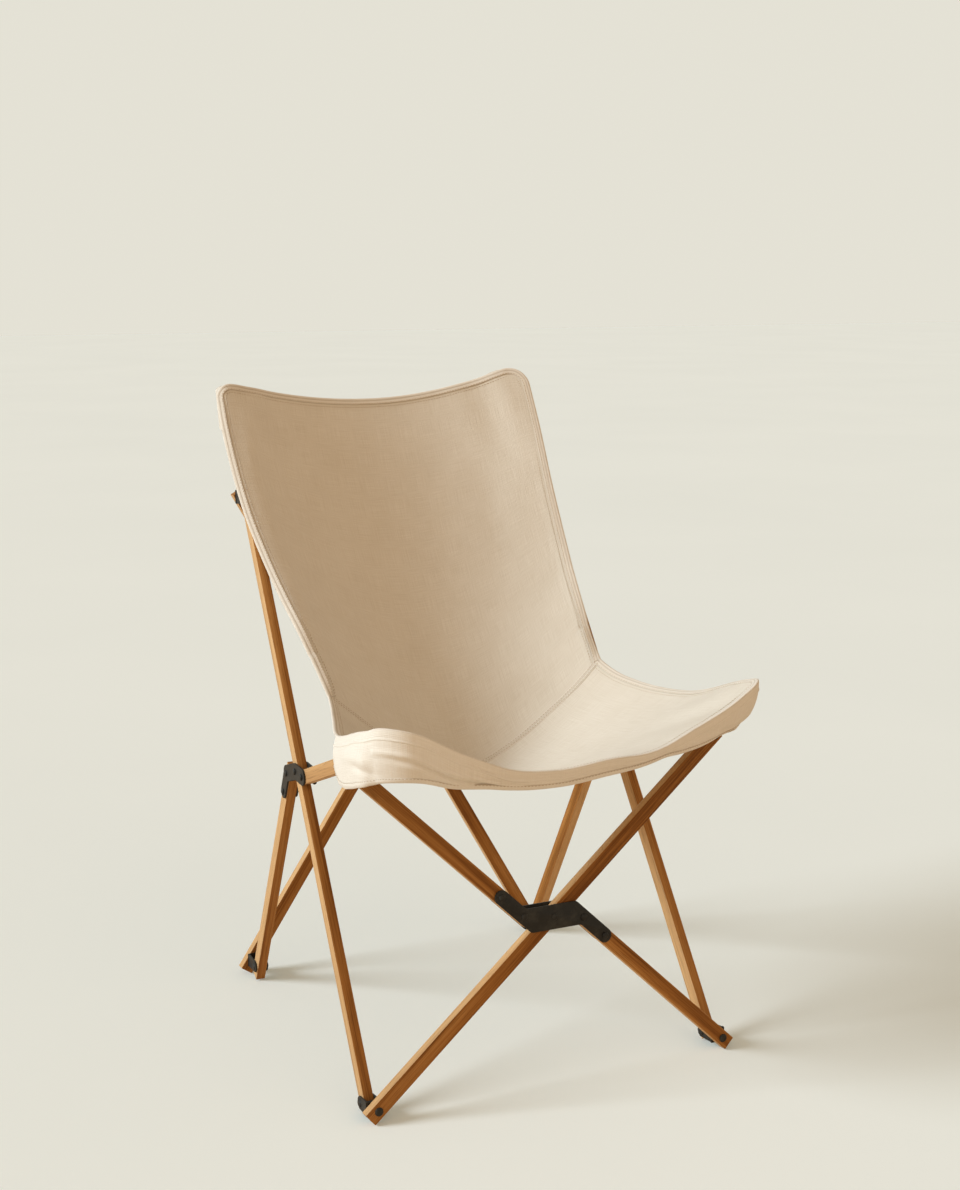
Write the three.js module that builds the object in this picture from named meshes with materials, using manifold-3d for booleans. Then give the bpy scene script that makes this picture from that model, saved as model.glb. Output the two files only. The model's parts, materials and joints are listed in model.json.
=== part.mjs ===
// Folding butterfly sling chair: four crossed pairs of wooden sticks, steel corner clevises and a
// cotton canvas sling. Millimetres, +Z up, the chair faces -Y, the origin is on the floor under the
// middle of the chair.
import * as THREE from "three";
import { mergeVertices } from "three/addons/utils/BufferGeometryUtils.js";
import Module from "manifold-3d";

const wasm = await Module();
wasm.setup();

// Sticks
const STICK_WIDTH = 20; // across a stick, in the plane of its cross
const STICK_THICK = 14; // through a stick, along the pivots
const TOP_END = 8; // wood past the last bolt at an upper end

// Front cross
const FRAME_LEAN = 5; // degrees that the front cross leans back
const FRONT_HALF = 262; // centre plane to a front foot
const FOOT_BOLT = 18; // front foot bolt above the floor
const SEAT_BOLT = 450; // seat corner bolt, measured up the front cross
const PIN_RISE = 18; // seat corner pin above its bolt
const FRONT_OFFSET = 26; // half stick axis to the cross pivot
const FRONT_RIVETS = [37, 81]; // rivets on a half stick, measured from the pivot
const FRONT_HALF_END = 24; // inner end of a half stick, measured from the pivot

// Sides
const REACH = 34; // clevis pin behind the axis of its front stick
const SIDE_LEAN = 28.8; // degrees between a long side stick and the front cross
const SIDE_PIVOT = 458; // front foot pin to the side pivot
const SIDE_CORNER = 886; // front foot pin to the back top pin
const SIDE_LENGTH = 1066; // front foot pin to the free tip
const BACK_FOOT_SET = 4.3; // back foot pin in front of the back top pin
const BACK_RISE = 69; // back foot pin, measured up the frame
const LEG_OFFSET = 30; // back leg axis to the side pivot
const LEG_RIVETS = [31, 66]; // rivets on the back leg, measured from the side pivot
const LEG_END = 18; // upper end of the back leg, measured from the side pivot
const RAIL_HOLE = [-30, -3]; // rail rivet from the side pivot
const RAIL_END = 8; // wood past the rail rivet
const RAIL_NOSE = 104; // rail past the seat corner pin

// Back cross, which stands upright
const BACK_HALF = 242.7; // centre plane to a back top pin
const BACK_OFFSET = 26;
const BACK_RIVETS = [37, 81];
const BACK_HALF_END = 24;

// Steel
const PLATE = 2.5; // sheet thickness
const PLATE_RADIUS = 10; // rounded end of a plate arm
const BAR_RADIUS = 12; // half the width of a plate's middle
const RIVET_R = 2.6;
const RIVET_HEAD_R = 4.6;
const PIN_R = 3;
const PIN_HEAD_R = 6;
const HEAD = 2.2; // head thickness
const EAR_R = 9; // rounded end of a clevis ear
const BASE_HALF = 10; // half the height of a clevis base
const BASE_MARGIN = 1.5; // clevis base past its ears, both sides together
const GAP = 0.3; // clearance between touching pieces
const EAR_GAP = 0.6; // clearance between an ear and its stick
const FLOOR_CLEAR = 1; // side sticks end this far above the floor

// Sling
const CLOTH = 2.4; // canvas with its lining and seams
const CORNER_R = 32; // rounded upper corners
const HEM_SIDE = 46; // depth of the hem where it starts at a side
const HEM_CORNER = 68; // depth of the hem at a front corner
const HEM_LEAN = 34; // the hem's lower edge lies this far back at a front corner
const HEM_MIDDLE = 20; // depth of the front hem at the middle
const POCKET_SPAN = [0.7, 0.94]; // shares of the half width that a back pocket covers
const POCKET_DEEP = 32; // back pocket, front to back
const POCKET_DROP = 60; // back pocket, top to bottom

// Stations of the sling from its top edge to its front edge. The first five are measured down the
// long sticks from their tips, the others forward along the rails from the seat corner pins. Each
// has that distance, the cloth's clearance over the stick, how far its edge lies outside the side
// plane, and how far its middle lies behind and below that edge.
const BACK_STATIONS = [
  [-11, 3.3, 19.5, 33, 37],
  [86.5, 1.4, 21.3, 34.5, 50],
  [202, 1.2, 12.8, 32.5, 68],
  [309.5, 9.2, -0.5, 25, 93],
  [416, 30.4, -17.8, 16, 122],
];
const SEAT_STATIONS = [
  [-184, 103, -36, 0, 141],
  [-120.5, 59.4, -14.8, -16, 116],
  [-27, 29.4, 9.2, -28, 93],
  [83.5, 28.2, 15.4, -42, 89],
  [147, 15.5, 3.6, -44, 78],
];
// At each station, how sharply the cloth turns up towards the edge, and the share of the half width
// where it reaches the edge and lies flat over the stick.
const TURN_UP = [2, 2, 1.9, 1.8, 1.6, 1.45, 1.45, 1.5, 1.6, 1.68];
const FLAT_FROM = [0.88, 0.88, 0.88, 0.9, 0.95, 1, 1, 1, 1, 1];

const lean = THREE.MathUtils.degToRad(FRAME_LEAN);
const sideLean = THREE.MathUtils.degToRad(SIDE_LEAN);
const ROUND = 10; // sides of a round post
const halfThick = STICK_THICK / 2;
const stack = halfThick + GAP + PLATE; // stick middle to the outside of a plate
const group = new THREE.Group();

// Point of the leaning frame: x across, v back, s up the cross planes.
function place(x, v, s) {
  return new THREE.Vector3(
    x,
    v * Math.cos(lean) + s * Math.sin(lean),
    s * Math.cos(lean) - v * Math.sin(lean),
  );
}

// A working plane: local x and y lie in it, local z is its normal.
function planeAt(origin, along, up) {
  const x = along.clone().normalize();
  const z = x.clone().cross(up).normalize();
  const y = z.clone().cross(x);
  return new THREE.Matrix4().makeBasis(x, y, z).setPosition(origin);
}

// Front and back planes have their normal to the front, side planes have it towards +X.
const alongSide = (d) => [d * Math.sin(sideLean), FOOT_BOLT + d * Math.cos(sideLean)];
const backTop = alongSide(SIDE_CORNER);
const toe = (FRONT_HALF - BACK_HALF) / backTop[0]; // side planes close in towards the back
const toeCos = 1 / Math.hypot(1, toe);
const across = new THREE.Vector3(1, 0, 0);
const upFrame = new THREE.Vector3(0, Math.sin(lean), Math.cos(lean));
const frontPlane = planeAt(place(0, 0, 0), across, upFrame);
const sideV = (q) => REACH + q * toeCos;
const sideX = (q) => FRONT_HALF - q * toe * toeCos;
function sidePlane(side) {
  const start = place(side * sideX(0), sideV(0), 0);
  const end = place(side * sideX(backTop[0]), sideV(backTop[0]), 0);
  return planeAt(start, end.sub(start), upFrame);
}
const normalOf = (plane) => new THREE.Vector3().setFromMatrixColumn(plane, 2);
const leftPlane = sidePlane(-1);
const rightPlane = sidePlane(1);

// Solids
function solid(geometry) {
  const bare = new THREE.BufferGeometry();
  const source = geometry.index ? geometry.toNonIndexed() : geometry;
  bare.setAttribute("position", source.getAttribute("position"));
  const merged = mergeVertices(bare, 1e-4);
  return new wasm.Manifold(
    new wasm.Mesh({
      numProp: 3,
      vertProperties: merged.getAttribute("position").array,
      triVerts: new Uint32Array(merged.index.array),
    }),
  );
}

function geometryOf(made) {
  const mesh = made.getMesh();
  const geometry = new THREE.BufferGeometry();
  geometry.setAttribute("position", new THREE.BufferAttribute(mesh.vertProperties, 3));
  geometry.setIndex(new THREE.BufferAttribute(mesh.triVerts, 1));
  return geometry;
}

function addNode(name, made, colour, roughness, metalness) {
  const geometry = made.isBufferGeometry ? made : geometryOf(made);
  const bare = geometry.index ? geometry.toNonIndexed() : geometry;
  bare.computeVertexNormals();
  const material = new THREE.MeshStandardMaterial({ color: colour, roughness, metalness });
  const mesh = new THREE.Mesh(bare, material);
  mesh.name = name;
  group.add(mesh);
}
const addWood = (name, made) => addNode(name, made, 0x9c6a3c, 0.6, 0);
const addSteel = (name, made) => addNode(name, made, 0x2a2a28, 0.55, 0.6);
const addCloth = (name, made) => addNode(name, made, 0xe4dac6, 0.9, 0);

const union = (list) => list.reduce((all, next) => all.add(next));
const subtractAll = (body, cuts) => cuts.reduce((left, cut) => left.subtract(cut), body);

// A round bar along the plane's normal, from low to high.
function post(plane, point, radius, low, high) {
  const geometry = new THREE.CylinderGeometry(radius, radius, high - low, ROUND);
  geometry.rotateX(Math.PI / 2);
  geometry.translate(point[0], point[1], (low + high) / 2);
  return solid(geometry.applyMatrix4(plane));
}

// A stick between two points of a plane, with wood past both and holes through it.
function stick(plane, from, to, before, after, holes) {
  const dx = to[0] - from[0];
  const dy = to[1] - from[1];
  const length = Math.hypot(dx, dy);
  const geometry = new THREE.BoxGeometry(length + before + after, STICK_WIDTH, STICK_THICK);
  geometry.translate((length + after - before) / 2, 0, 0);
  geometry.rotateZ(Math.atan2(dy, dx));
  geometry.translate(from[0], from[1], 0);
  const body = solid(geometry.applyMatrix4(plane));
  return subtractAll(
    body,
    holes.map(([point, radius]) =>
      post(plane, point, radius + GAP, -STICK_THICK, STICK_THICK),
    ),
  );
}

// A flat bar with round ends between two points of a plane.
function slab(plane, from, to, radius, low, high) {
  const angle = Math.atan2(to[1] - from[1], to[0] - from[0]);
  const shape = new THREE.Shape();
  shape.absarc(to[0], to[1], radius, angle - Math.PI / 2, angle + Math.PI / 2, false);
  shape.absarc(from[0], from[1], radius, angle + Math.PI / 2, angle + Math.PI * 1.5, false);
  shape.closePath();
  const geometry = new THREE.ExtrudeGeometry(shape, {
    depth: high - low,
    bevelEnabled: false,
    curveSegments: 6,
  });
  geometry.translate(0, 0, low);
  return solid(geometry.applyMatrix4(plane));
}

// The convex outline of a few points, extruded along the plane's normal.
function hullSlab(plane, points, low, high) {
  const sorted = points.slice().sort((a, b) => a[0] - b[0] || a[1] - b[1]);
  const turn = (o, a, b) => (a[0] - o[0]) * (b[1] - o[1]) - (a[1] - o[1]) * (b[0] - o[0]);
  const chain = (list) => {
    const out = [];
    for (const point of list) {
      while (out.length > 1 && turn(out[out.length - 2], out[out.length - 1], point) <= 1e-9) {
        out.pop();
      }
      out.push(point);
    }
    out.pop();
    return out;
  };
  const outline = chain(sorted).concat(chain(sorted.reverse()));
  const shape = new THREE.Shape(outline.map((p) => new THREE.Vector2(p[0], p[1])));
  const geometry = new THREE.ExtrudeGeometry(shape, { depth: high - low, bevelEnabled: false });
  geometry.translate(0, 0, low);
  return solid(geometry.applyMatrix4(plane));
}

// A rivet or bolt: a turned profile along the plane's normal. A head of radius 0 is left out.
function rivet(plane, point, radius, headR, low, high, lowHead, highHead) {
  const profile = [];
  const corner = (r, z) => profile.push(new THREE.Vector2(r, z));
  if (lowHead) {
    corner(0, low - HEAD);
    corner(headR * 0.7, low - HEAD);
    corner(headR, low - HEAD * 0.45);
    corner(headR, low);
  } else {
    corner(0, low);
  }
  corner(radius, low);
  corner(radius, high);
  if (highHead) {
    corner(headR, high);
    corner(headR, high + HEAD * 0.45);
    corner(headR * 0.7, high + HEAD);
    corner(0, high + HEAD);
  } else {
    corner(0, high);
  }
  const geometry = new THREE.LatheGeometry(profile, ROUND);
  geometry.rotateX(Math.PI / 2);
  geometry.translate(point[0], point[1], 0);
  return solid(geometry.applyMatrix4(plane));
}

function flipped(geometry) {
  const index = geometry.index.array;
  for (let i = 0; i < index.length; i += 3) {
    [index[i + 1], index[i + 2]] = [index[i + 2], index[i + 1]];
  }
  return geometry;
}

// A pair of equal plates on both faces of the sticks, cut from round-ended bars.
function platePair(plane, bars, holes) {
  const cut = (low, high) =>
    subtractAll(
      union(bars.map(([from, to, radius]) => slab(plane, from, to, radius, low, high))),
      holes.map((point) => post(plane, point, RIVET_R + GAP, low - 1, high + 1)),
    );
  const inner = halfThick + GAP;
  return [cut(inner, stack), cut(-stack, -inner)];
}
const plateRivet = (plane, point) =>
  rivet(plane, point, RIVET_R, RIVET_HEAD_R, -stack - GAP, stack + GAP, true, true);

// Wood past a foot bolt so that the stick's lowest corner comes down to the floor.
function footEnd(height, tilt, tipLean) {
  const drop = (STICK_WIDTH / 2) * Math.sin(tilt) * Math.cos(tipLean);
  const edge = halfThick * Math.sin(tipLean);
  return (height - drop - edge) / (Math.cos(tilt) * Math.cos(tipLean));
}

// A cross of one through stick, with its foot at -X, and two half sticks beside the pivot.
function crossing(footHalf, footS, topHalf, topS, offset) {
  const pivot = [0, footS + ((topS - footS) * footHalf) / (footHalf + topHalf)];
  const lowLength = Math.hypot(footHalf, pivot[1] - footS);
  const highLength = Math.hypot(topHalf, topS - pivot[1]);
  const swing = Math.asin(offset / lowLength);
  const throughTilt = Math.atan2(footHalf, pivot[1] - footS);
  const tilt = throughTilt - swing;
  const up = [-Math.sin(tilt), Math.cos(tilt)];
  const throughFoot = [-footHalf, footS];
  const throughTop = [topHalf, topS];
  const lowFoot = [footHalf, footS];
  const highTop = [-topHalf, topS];
  const lowAt = (d) => {
    const run = lowLength * Math.cos(swing) - d;
    return [lowFoot[0] + up[0] * run, lowFoot[1] + up[1] * run];
  };
  const highAt = (d) => {
    const run = highLength * Math.cos(swing) - d;
    return [highTop[0] - up[0] * run, highTop[1] - up[1] * run];
  };
  return { pivot, tilt, throughTilt, throughFoot, throughTop, lowFoot, highTop, lowAt, highAt };
}

// Front cross
const front = crossing(FRONT_HALF, FOOT_BOLT, FRONT_HALF, SEAT_BOLT, FRONT_OFFSET);
const frontHeight = place(0, 0, FOOT_BOLT).z;

function addCross(label, plane, cross, rivets, end, footHeight, tipLean) {
  const rivetPoints = rivets.map(cross.lowAt).concat(rivets.map(cross.highAt));
  const throughHoles = [[cross.pivot, RIVET_R]];
  const lowHoles = rivets.map((d) => [cross.lowAt(d), RIVET_R]);
  const highHoles = rivets.map((d) => [cross.highAt(d), RIVET_R]);
  throughHoles.push([cross.throughFoot, PIN_R], [cross.throughTop, PIN_R]);
  lowHoles.push([cross.lowFoot, PIN_R]);
  highHoles.push([cross.highTop, PIN_R]);
  const throughEnd = footEnd(footHeight, cross.throughTilt, tipLean);
  const lowEnd = footEnd(footHeight, cross.tilt, tipLean);
  addWood(
    `${label}_through_stick`,
    stick(plane, cross.throughFoot, cross.throughTop, throughEnd, TOP_END, throughHoles),
  );
  addWood(
    `${label}_lower_half`,
    stick(plane, cross.lowFoot, cross.lowAt(end), lowEnd, 0, lowHoles),
  );
  addWood(
    `${label}_upper_half`,
    stick(plane, cross.highAt(end), cross.highTop, 0, TOP_END, highHoles),
  );
  const bars = [
    [cross.lowAt(rivets[1]), cross.lowAt(rivets[0]), PLATE_RADIUS],
    [cross.lowAt(rivets[0]), cross.highAt(rivets[0]), BAR_RADIUS],
    [cross.highAt(rivets[0]), cross.highAt(rivets[1]), PLATE_RADIUS],
  ];
  const [fore, aft] = platePair(plane, bars, rivetPoints.concat([cross.pivot]));
  addSteel(`${label}_plate_fore`, fore);
  addSteel(`${label}_plate_aft`, aft);
  rivetPoints.forEach((point, i) => {
    addSteel(`${label}_rivet_${i + 1}`, plateRivet(plane, point));
  });
  addSteel(`${label}_pivot_rivet`, plateRivet(plane, cross.pivot));
}
addCross("front", frontPlane, front, FRONT_RIVETS, FRONT_HALF_END, frontHeight, lean);

// Sides, in the side planes: q back from the front foot pin, s up the frame
const pinPoint = (pin) => place(0, sideV(pin[0]), pin[1]);
const frontPin = [0, FOOT_BOLT];
const sidePivot = alongSide(SIDE_PIVOT);
const sideTip = alongSide(SIDE_LENGTH);
const backFootV =
  (pinPoint(backTop).y - BACK_FOOT_SET - BACK_RISE * Math.sin(lean)) / Math.cos(lean);
const backFoot = [(backFootV - REACH) / toeCos, BACK_RISE];
const legSpan = Math.hypot(sidePivot[0] - backFoot[0], sidePivot[1] - backFoot[1]);
const legSwing = Math.asin(LEG_OFFSET / legSpan);
const legLean =
  Math.atan2(sidePivot[0] - backFoot[0], sidePivot[1] - backFoot[1]) + legSwing;
const legAt = (d) => {
  const run = legSpan * Math.cos(legSwing) - d;
  return [backFoot[0] + run * Math.sin(legLean), backFoot[1] + run * Math.cos(legLean)];
};
const railHole = [sidePivot[0] + RAIL_HOLE[0], sidePivot[1] + RAIL_HOLE[1]];
const seatPin = [0, SEAT_BOLT + PIN_RISE];
const sideFootEnd = (pin, tilt) => {
  const worldTilt = Math.abs(tilt + lean);
  const drop = (STICK_WIDTH / 2) * Math.sin(worldTilt);
  return (pinPoint(pin).z - FLOOR_CLEAR - drop) / Math.cos(worldTilt);
};

function addSide(label, plane) {
  addWood(
    `${label}_long_stick`,
    stick(plane, frontPin, sideTip, sideFootEnd(frontPin, sideLean), 0, [
      [frontPin, PIN_R],
      [sidePivot, RIVET_R],
      [backTop, PIN_R],
    ]),
  );
  const legHoles = LEG_RIVETS.map((d) => [legAt(d), RIVET_R]);
  legHoles.push([backFoot, PIN_R]);
  addWood(
    `${label}_back_leg`,
    stick(plane, backFoot, legAt(LEG_END), sideFootEnd(backFoot, legLean), 0, legHoles),
  );
  addWood(
    `${label}_seat_rail`,
    stick(plane, railHole, seatPin, RAIL_END, RAIL_NOSE, [[railHole, RIVET_R]]),
  );
  const bars = [
    [legAt(LEG_RIVETS[1]), legAt(LEG_RIVETS[0]), PLATE_RADIUS],
    [legAt(LEG_RIVETS[0]), sidePivot, BAR_RADIUS],
    [sidePivot, railHole, BAR_RADIUS],
  ];
  const holes = LEG_RIVETS.map(legAt).concat([sidePivot, railHole]);
  const [high, low] = platePair(plane, bars, holes);
  addSteel(`${label}_plate_right`, high);
  addSteel(`${label}_plate_left`, low);
  LEG_RIVETS.forEach((d, i) => {
    addSteel(`${label}_leg_rivet_${i + 1}`, plateRivet(plane, legAt(d)));
  });
  addSteel(`${label}_pivot_rivet`, plateRivet(plane, sidePivot));
  addSteel(`${label}_rail_rivet`, plateRivet(plane, railHole));
}
addSide("left", leftPlane);
addSide("right", rightPlane);

// Back cross: its upright plane lies one reach behind the back top pins
const backY = pinPoint(backTop).y + REACH;
const backPlane = planeAt(new THREE.Vector3(0, backY, 0), across, new THREE.Vector3(0, 0, 1));
const footZ = pinPoint(backFoot).z;
const topZ = pinPoint(backTop).z;
const topHalf = sideX(backTop[0]);
const footHalf = sideX(backFoot[0]);
const back = crossing(footHalf, footZ, topHalf, topZ, BACK_OFFSET);
addCross("back", backPlane, back, BACK_RIVETS, BACK_HALF_END, footZ, 0);

// Corner clevises: a base on the face of a cross stick and two ears around a side stick.
// Way 1 stands behind the front cross, way -1 in front of the back cross.
function clevis(side, way, bolt, pin, hasStud, hasPin) {
  const cross = way > 0 ? frontPlane : backPlane;
  const plane = side > 0 ? rightPlane : leftPlane;
  const toSide = plane.clone().invert();
  const earLow = halfThick + EAR_GAP;
  const earHigh = earLow + PLATE;
  const headAt = earHigh - PLATE * 0.2;
  const face = halfThick + GAP;
  const inside = -way * (face + PLATE / 2);
  const turnedIn = normalOf(plane).x; // cosine of the side plane's toe
  const atBase = (x, rise) =>
    new THREE.Vector3(x, bolt[1] + rise, inside).applyMatrix4(cross).applyMatrix4(toSide);
  // Where the base meets a level of the side plane, across the cross
  const baseX = (level) => bolt[0] + (level - atBase(bolt[0], 0).z) / turnedIn;
  const baseWidth = (2 * earHigh) / turnedIn + BASE_MARGIN;
  const base = new THREE.BoxGeometry(baseWidth, 2 * BASE_HALF, PLATE);
  base.translate(baseX(0), bolt[1], inside);
  const ear = (low, high) => {
    const rootX = baseX((low + high) / 2);
    const outline = [-BASE_HALF, BASE_HALF].map((rise) => {
      const root = atBase(rootX, rise);
      return [root.x, root.y];
    });
    for (let i = 0; i < ROUND; i += 1) {
      const turn = (i / ROUND) * Math.PI * 2;
      outline.push([pin[0] + EAR_R * Math.cos(turn), pin[1] + EAR_R * Math.sin(turn)]);
    }
    return hullSlab(plane, outline, low, high);
  };
  const pieces = [solid(base.applyMatrix4(cross)), ear(earLow, earHigh), ear(-earHigh, -earLow)];
  if (hasPin) {
    pieces.push(rivet(plane, pin, PIN_R, PIN_HEAD_R, -headAt, headAt, true, true));
  } else {
    const shankAt = earLow + PLATE * 0.3;
    pieces.push(rivet(plane, pin, PIN_R, PIN_HEAD_R, shankAt, headAt, false, true));
    pieces.push(rivet(plane, pin, PIN_R, PIN_HEAD_R, -headAt, -shankAt, true, false));
  }
  if (hasStud) {
    const outside = way * face;
    const low = Math.min(inside, outside);
    const high = Math.max(inside, outside);
    pieces.push(rivet(cross, bolt, PIN_R, PIN_HEAD_R, low, high, way < 0, way > 0));
  }
  return union(pieces);
}
for (const [label, side] of [
  ["left", -1],
  ["right", 1],
]) {
  const backX = side * footHalf;
  const topX = side * topHalf;
  const frontX = side * FRONT_HALF;
  addSteel(`${label}_front_foot`, clevis(side, 1, [frontX, FOOT_BOLT], frontPin, true, true));
  addSteel(`${label}_seat_corner`, clevis(side, 1, [frontX, SEAT_BOLT], seatPin, true, false));
  addSteel(`${label}_back_foot`, clevis(side, -1, [backX, footZ], backFoot, side < 0, true));
  addSteel(`${label}_back_top`, clevis(side, -1, [topX, topZ], backTop, false, true));
}
// Bolts of the back cross that are free of their clevises
for (const [label, point] of [
  ["through_top", back.throughTop],
  ["lower_foot", back.lowFoot],
  ["upper_top", back.highTop],
]) {
  const low = -halfThick - GAP;
  addSteel(
    `back_bolt_${label}`,
    rivet(backPlane, point, PIN_R, PIN_HEAD_R, low, halfThick - 1, true, false),
  );
}

// Sling. A station's edge lies over its stick, which runs from one pin towards another.
function stationOn(from, to, [along, clear, out, behind, below], i) {
  const start = pinPoint(from);
  const run = pinPoint(to).sub(start).normalize();
  const lift = new THREE.Vector3(0, -run.z, run.y);
  lift.multiplyScalar(Math.sign(lift.z) * (STICK_WIDTH / 2 + CLOTH / 2 + clear));
  const edge = start.addScaledVector(run, along).add(lift);
  const planeSpan = Math.hypot(to[0] - from[0], to[1] - from[1]);
  const planeQ = from[0] + ((to[0] - from[0]) * along) / planeSpan;
  edge.x = sideX(planeQ) + out;
  const middle = new THREE.Vector3(TURN_UP[i], edge.y + behind, edge.z - below);
  return { edge, middle, flat: new THREE.Vector3(FLAT_FROM[i], 0, 0) };
}
const SEAM = BACK_STATIONS.length; // station of the seam between back and seat
const stations = BACK_STATIONS.map((row, i) => stationOn(sideTip, frontPin, row, i)).concat(
  SEAT_STATIONS.map(([along, ...rest], i) => {
    const railSpan = Math.hypot(seatPin[0] - railHole[0], seatPin[1] - railHole[1]);
    return stationOn(railHole, seatPin, [railSpan + along, ...rest], SEAM + i);
  }),
);
const LAST = stations.length - 1;
const stationCurve = (part) =>
  new THREE.CatmullRomCurve3(
    stations.map((station) => station[part]),
    false,
    "catmullrom",
    0.5,
  );
const edgeCurve = stationCurve("edge");
const middleCurve = stationCurve("middle");
const flatCurve = stationCurve("flat");

// The upper corners are rounded by starting further down near the sides.
const topStep = stations[0].edge.distanceTo(stations[1].edge);
function roundedDown(across, down) {
  const start = 1 - CORNER_R / stations[0].edge.x;
  const turn = Math.max(0, (Math.abs(across) - start) / (1 - start));
  const drop = (CORNER_R / topStep) * (1 - Math.sqrt(Math.max(0, 1 - turn * turn)));
  return down < 1 ? drop + (1 - drop) * down : down;
}

// Point of the sling: across from -1 to 1, down in stations.
function slingPoint(across, down) {
  const place = roundedDown(across, down) / LAST;
  const edge = edgeCurve.getPoint(place);
  const middle = middleCurve.getPoint(place);
  const flatFrom = flatCurve.getPoint(place).x;
  const share = Math.pow(Math.min(Math.abs(across) / flatFrom, 1), middle.x);
  return new THREE.Vector3(
    edge.x * across,
    middle.y + (edge.y - middle.y) * share,
    middle.z + (edge.z - middle.z) * share,
  );
}

// The upper normal of the sling at a point.
function slingNormal(across, down) {
  const step = 0.01;
  const a = Math.min(across + step, 1);
  const b = Math.max(across - step, -1);
  const c = Math.min(down + step, LAST);
  const d = Math.max(down - step, 0);
  const along = slingPoint(a, down).sub(slingPoint(b, down));
  const run = slingPoint(across, c).sub(slingPoint(across, d));
  return run.cross(along).normalize();
}

// A closed sheet from a grid of pairs [upper point, lower point].
function sheet(rows) {
  const count = rows[0].length;
  const points = [];
  rows.forEach((row) => row.forEach((pair) => points.push(pair[0])));
  rows.forEach((row) => row.forEach((pair) => points.push(pair[1])));
  const half = rows.length * count;
  const index = [];
  const quad = (a, b, c, d) => index.push(a, b, c, a, c, d);
  const last = rows.length - 1;
  for (let i = 0; i < last; i += 1) {
    for (let j = 0; j < count - 1; j += 1) {
      const a = i * count + j;
      quad(a, a + count, a + count + 1, a + 1);
      quad(half + a, half + a + 1, half + a + count + 1, half + a + count);
    }
    const left = i * count;
    const right = left + count - 1;
    quad(left, half + left, half + left + count, left + count);
    quad(right, right + count, half + right + count, half + right);
  }
  for (let j = 0; j < count - 1; j += 1) {
    const end = last * count + j;
    quad(j, j + 1, half + j + 1, half + j);
    quad(end, half + end, half + end + 1, end + 1);
  }
  const geometry = new THREE.BufferGeometry();
  const flatPoints = points.flatMap((p) => [p.x, p.y, p.z]);
  geometry.setAttribute("position", new THREE.Float32BufferAttribute(flatPoints, 3));
  geometry.setIndex(index);
  const volume = signedVolume(points, index);
  return volume < 0 ? flipped(geometry) : geometry;
}

function signedVolume(points, index) {
  let sum = 0;
  for (let i = 0; i < index.length; i += 3) {
    const [a, b, c] = [points[index[i]], points[index[i + 1]], points[index[i + 2]]];
    sum += a.dot(b.clone().cross(c));
  }
  return sum;
}

function slingPanel(from, to, rowCount, columns) {
  const rows = [];
  for (let i = 0; i <= rowCount; i += 1) {
    const down = from + ((to - from) * i) / rowCount;
    const row = [];
    for (let j = 0; j <= columns; j += 1) {
      const across = -1 + (2 * j) / columns;
      const point = slingPoint(across, down);
      const offset = slingNormal(across, down).multiplyScalar(CLOTH / 2);
      row.push([point.clone().add(offset), point.clone().sub(offset)]);
    }
    rows.push(row);
  }
  return sheet(rows);
}
const COLUMNS = 20;
addCloth("sling_back", slingPanel(0, SEAM - 0.002, 14, COLUMNS));
addCloth("sling_seat", slingPanel(SEAM + 0.002, LAST, 12, COLUMNS));

// Front hem: hangs from the edge of the seat around both corners and along the front.
function addHem() {
  const edge = [];
  const sideSteps = 6;
  const hemStart = LAST - 2;
  const sideAt = (side, i) => {
    const t = i / sideSteps;
    const depth = HEM_SIDE + (HEM_CORNER - HEM_SIDE) * t;
    edge.push([slingPoint(side, hemStart + 2 * t), depth, HEM_LEAN * Math.pow(t, 4)]);
  };
  for (let i = 0; i < sideSteps; i += 1) {
    sideAt(-1, i);
  }
  for (let j = 0; j <= COLUMNS; j += 1) {
    const across = -1 + (2 * j) / COLUMNS;
    const share = Math.pow(Math.abs(across), 2);
    const depth = HEM_MIDDLE + (HEM_CORNER - HEM_MIDDLE) * share;
    edge.push([slingPoint(across, LAST), depth, HEM_LEAN * (0.25 + 0.75 * share)]);
  }
  for (let i = sideSteps - 1; i >= 0; i -= 1) {
    sideAt(1, i);
  }
  const level = (v) => new THREE.Vector3(v.x, v.y, 0).normalize();
  const outward = (v) => new THREE.Vector3(v.y, -v.x, 0);
  const columns = edge.map(([point, depth, set], i) => {
    const before = level(point.clone().sub(edge[Math.max(i - 1, 0)][0]));
    const after = level(edge[Math.min(i + 1, edge.length - 1)][0].clone().sub(point));
    const first = before.length() > 0 ? outward(before) : outward(after);
    const second = after.length() > 0 ? outward(after) : outward(before);
    const mitre = first.clone().add(second).normalize();
    const stretch = 1 / Math.max(mitre.dot(second), 0.5);
    return { point, depth, set, out: mitre.multiplyScalar(stretch) };
  });
  const rows = [];
  const steps = [0, 0.5, 1];
  for (const share of steps) {
    rows.push(
      columns.map(({ point, depth, set, out }) => {
        const inner = point.clone().addScaledVector(out, GAP + CLOTH * 0.5);
        inner.z += CLOTH / 2 - share * depth;
        inner.y += share * set;
        inner.addScaledVector(out, 3 * Math.sin(share * Math.PI));
        return [inner.clone().addScaledVector(out, CLOTH), inner];
      }),
    );
  }
  addCloth("front_hem", sheet(rows));
}
addHem();

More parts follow.
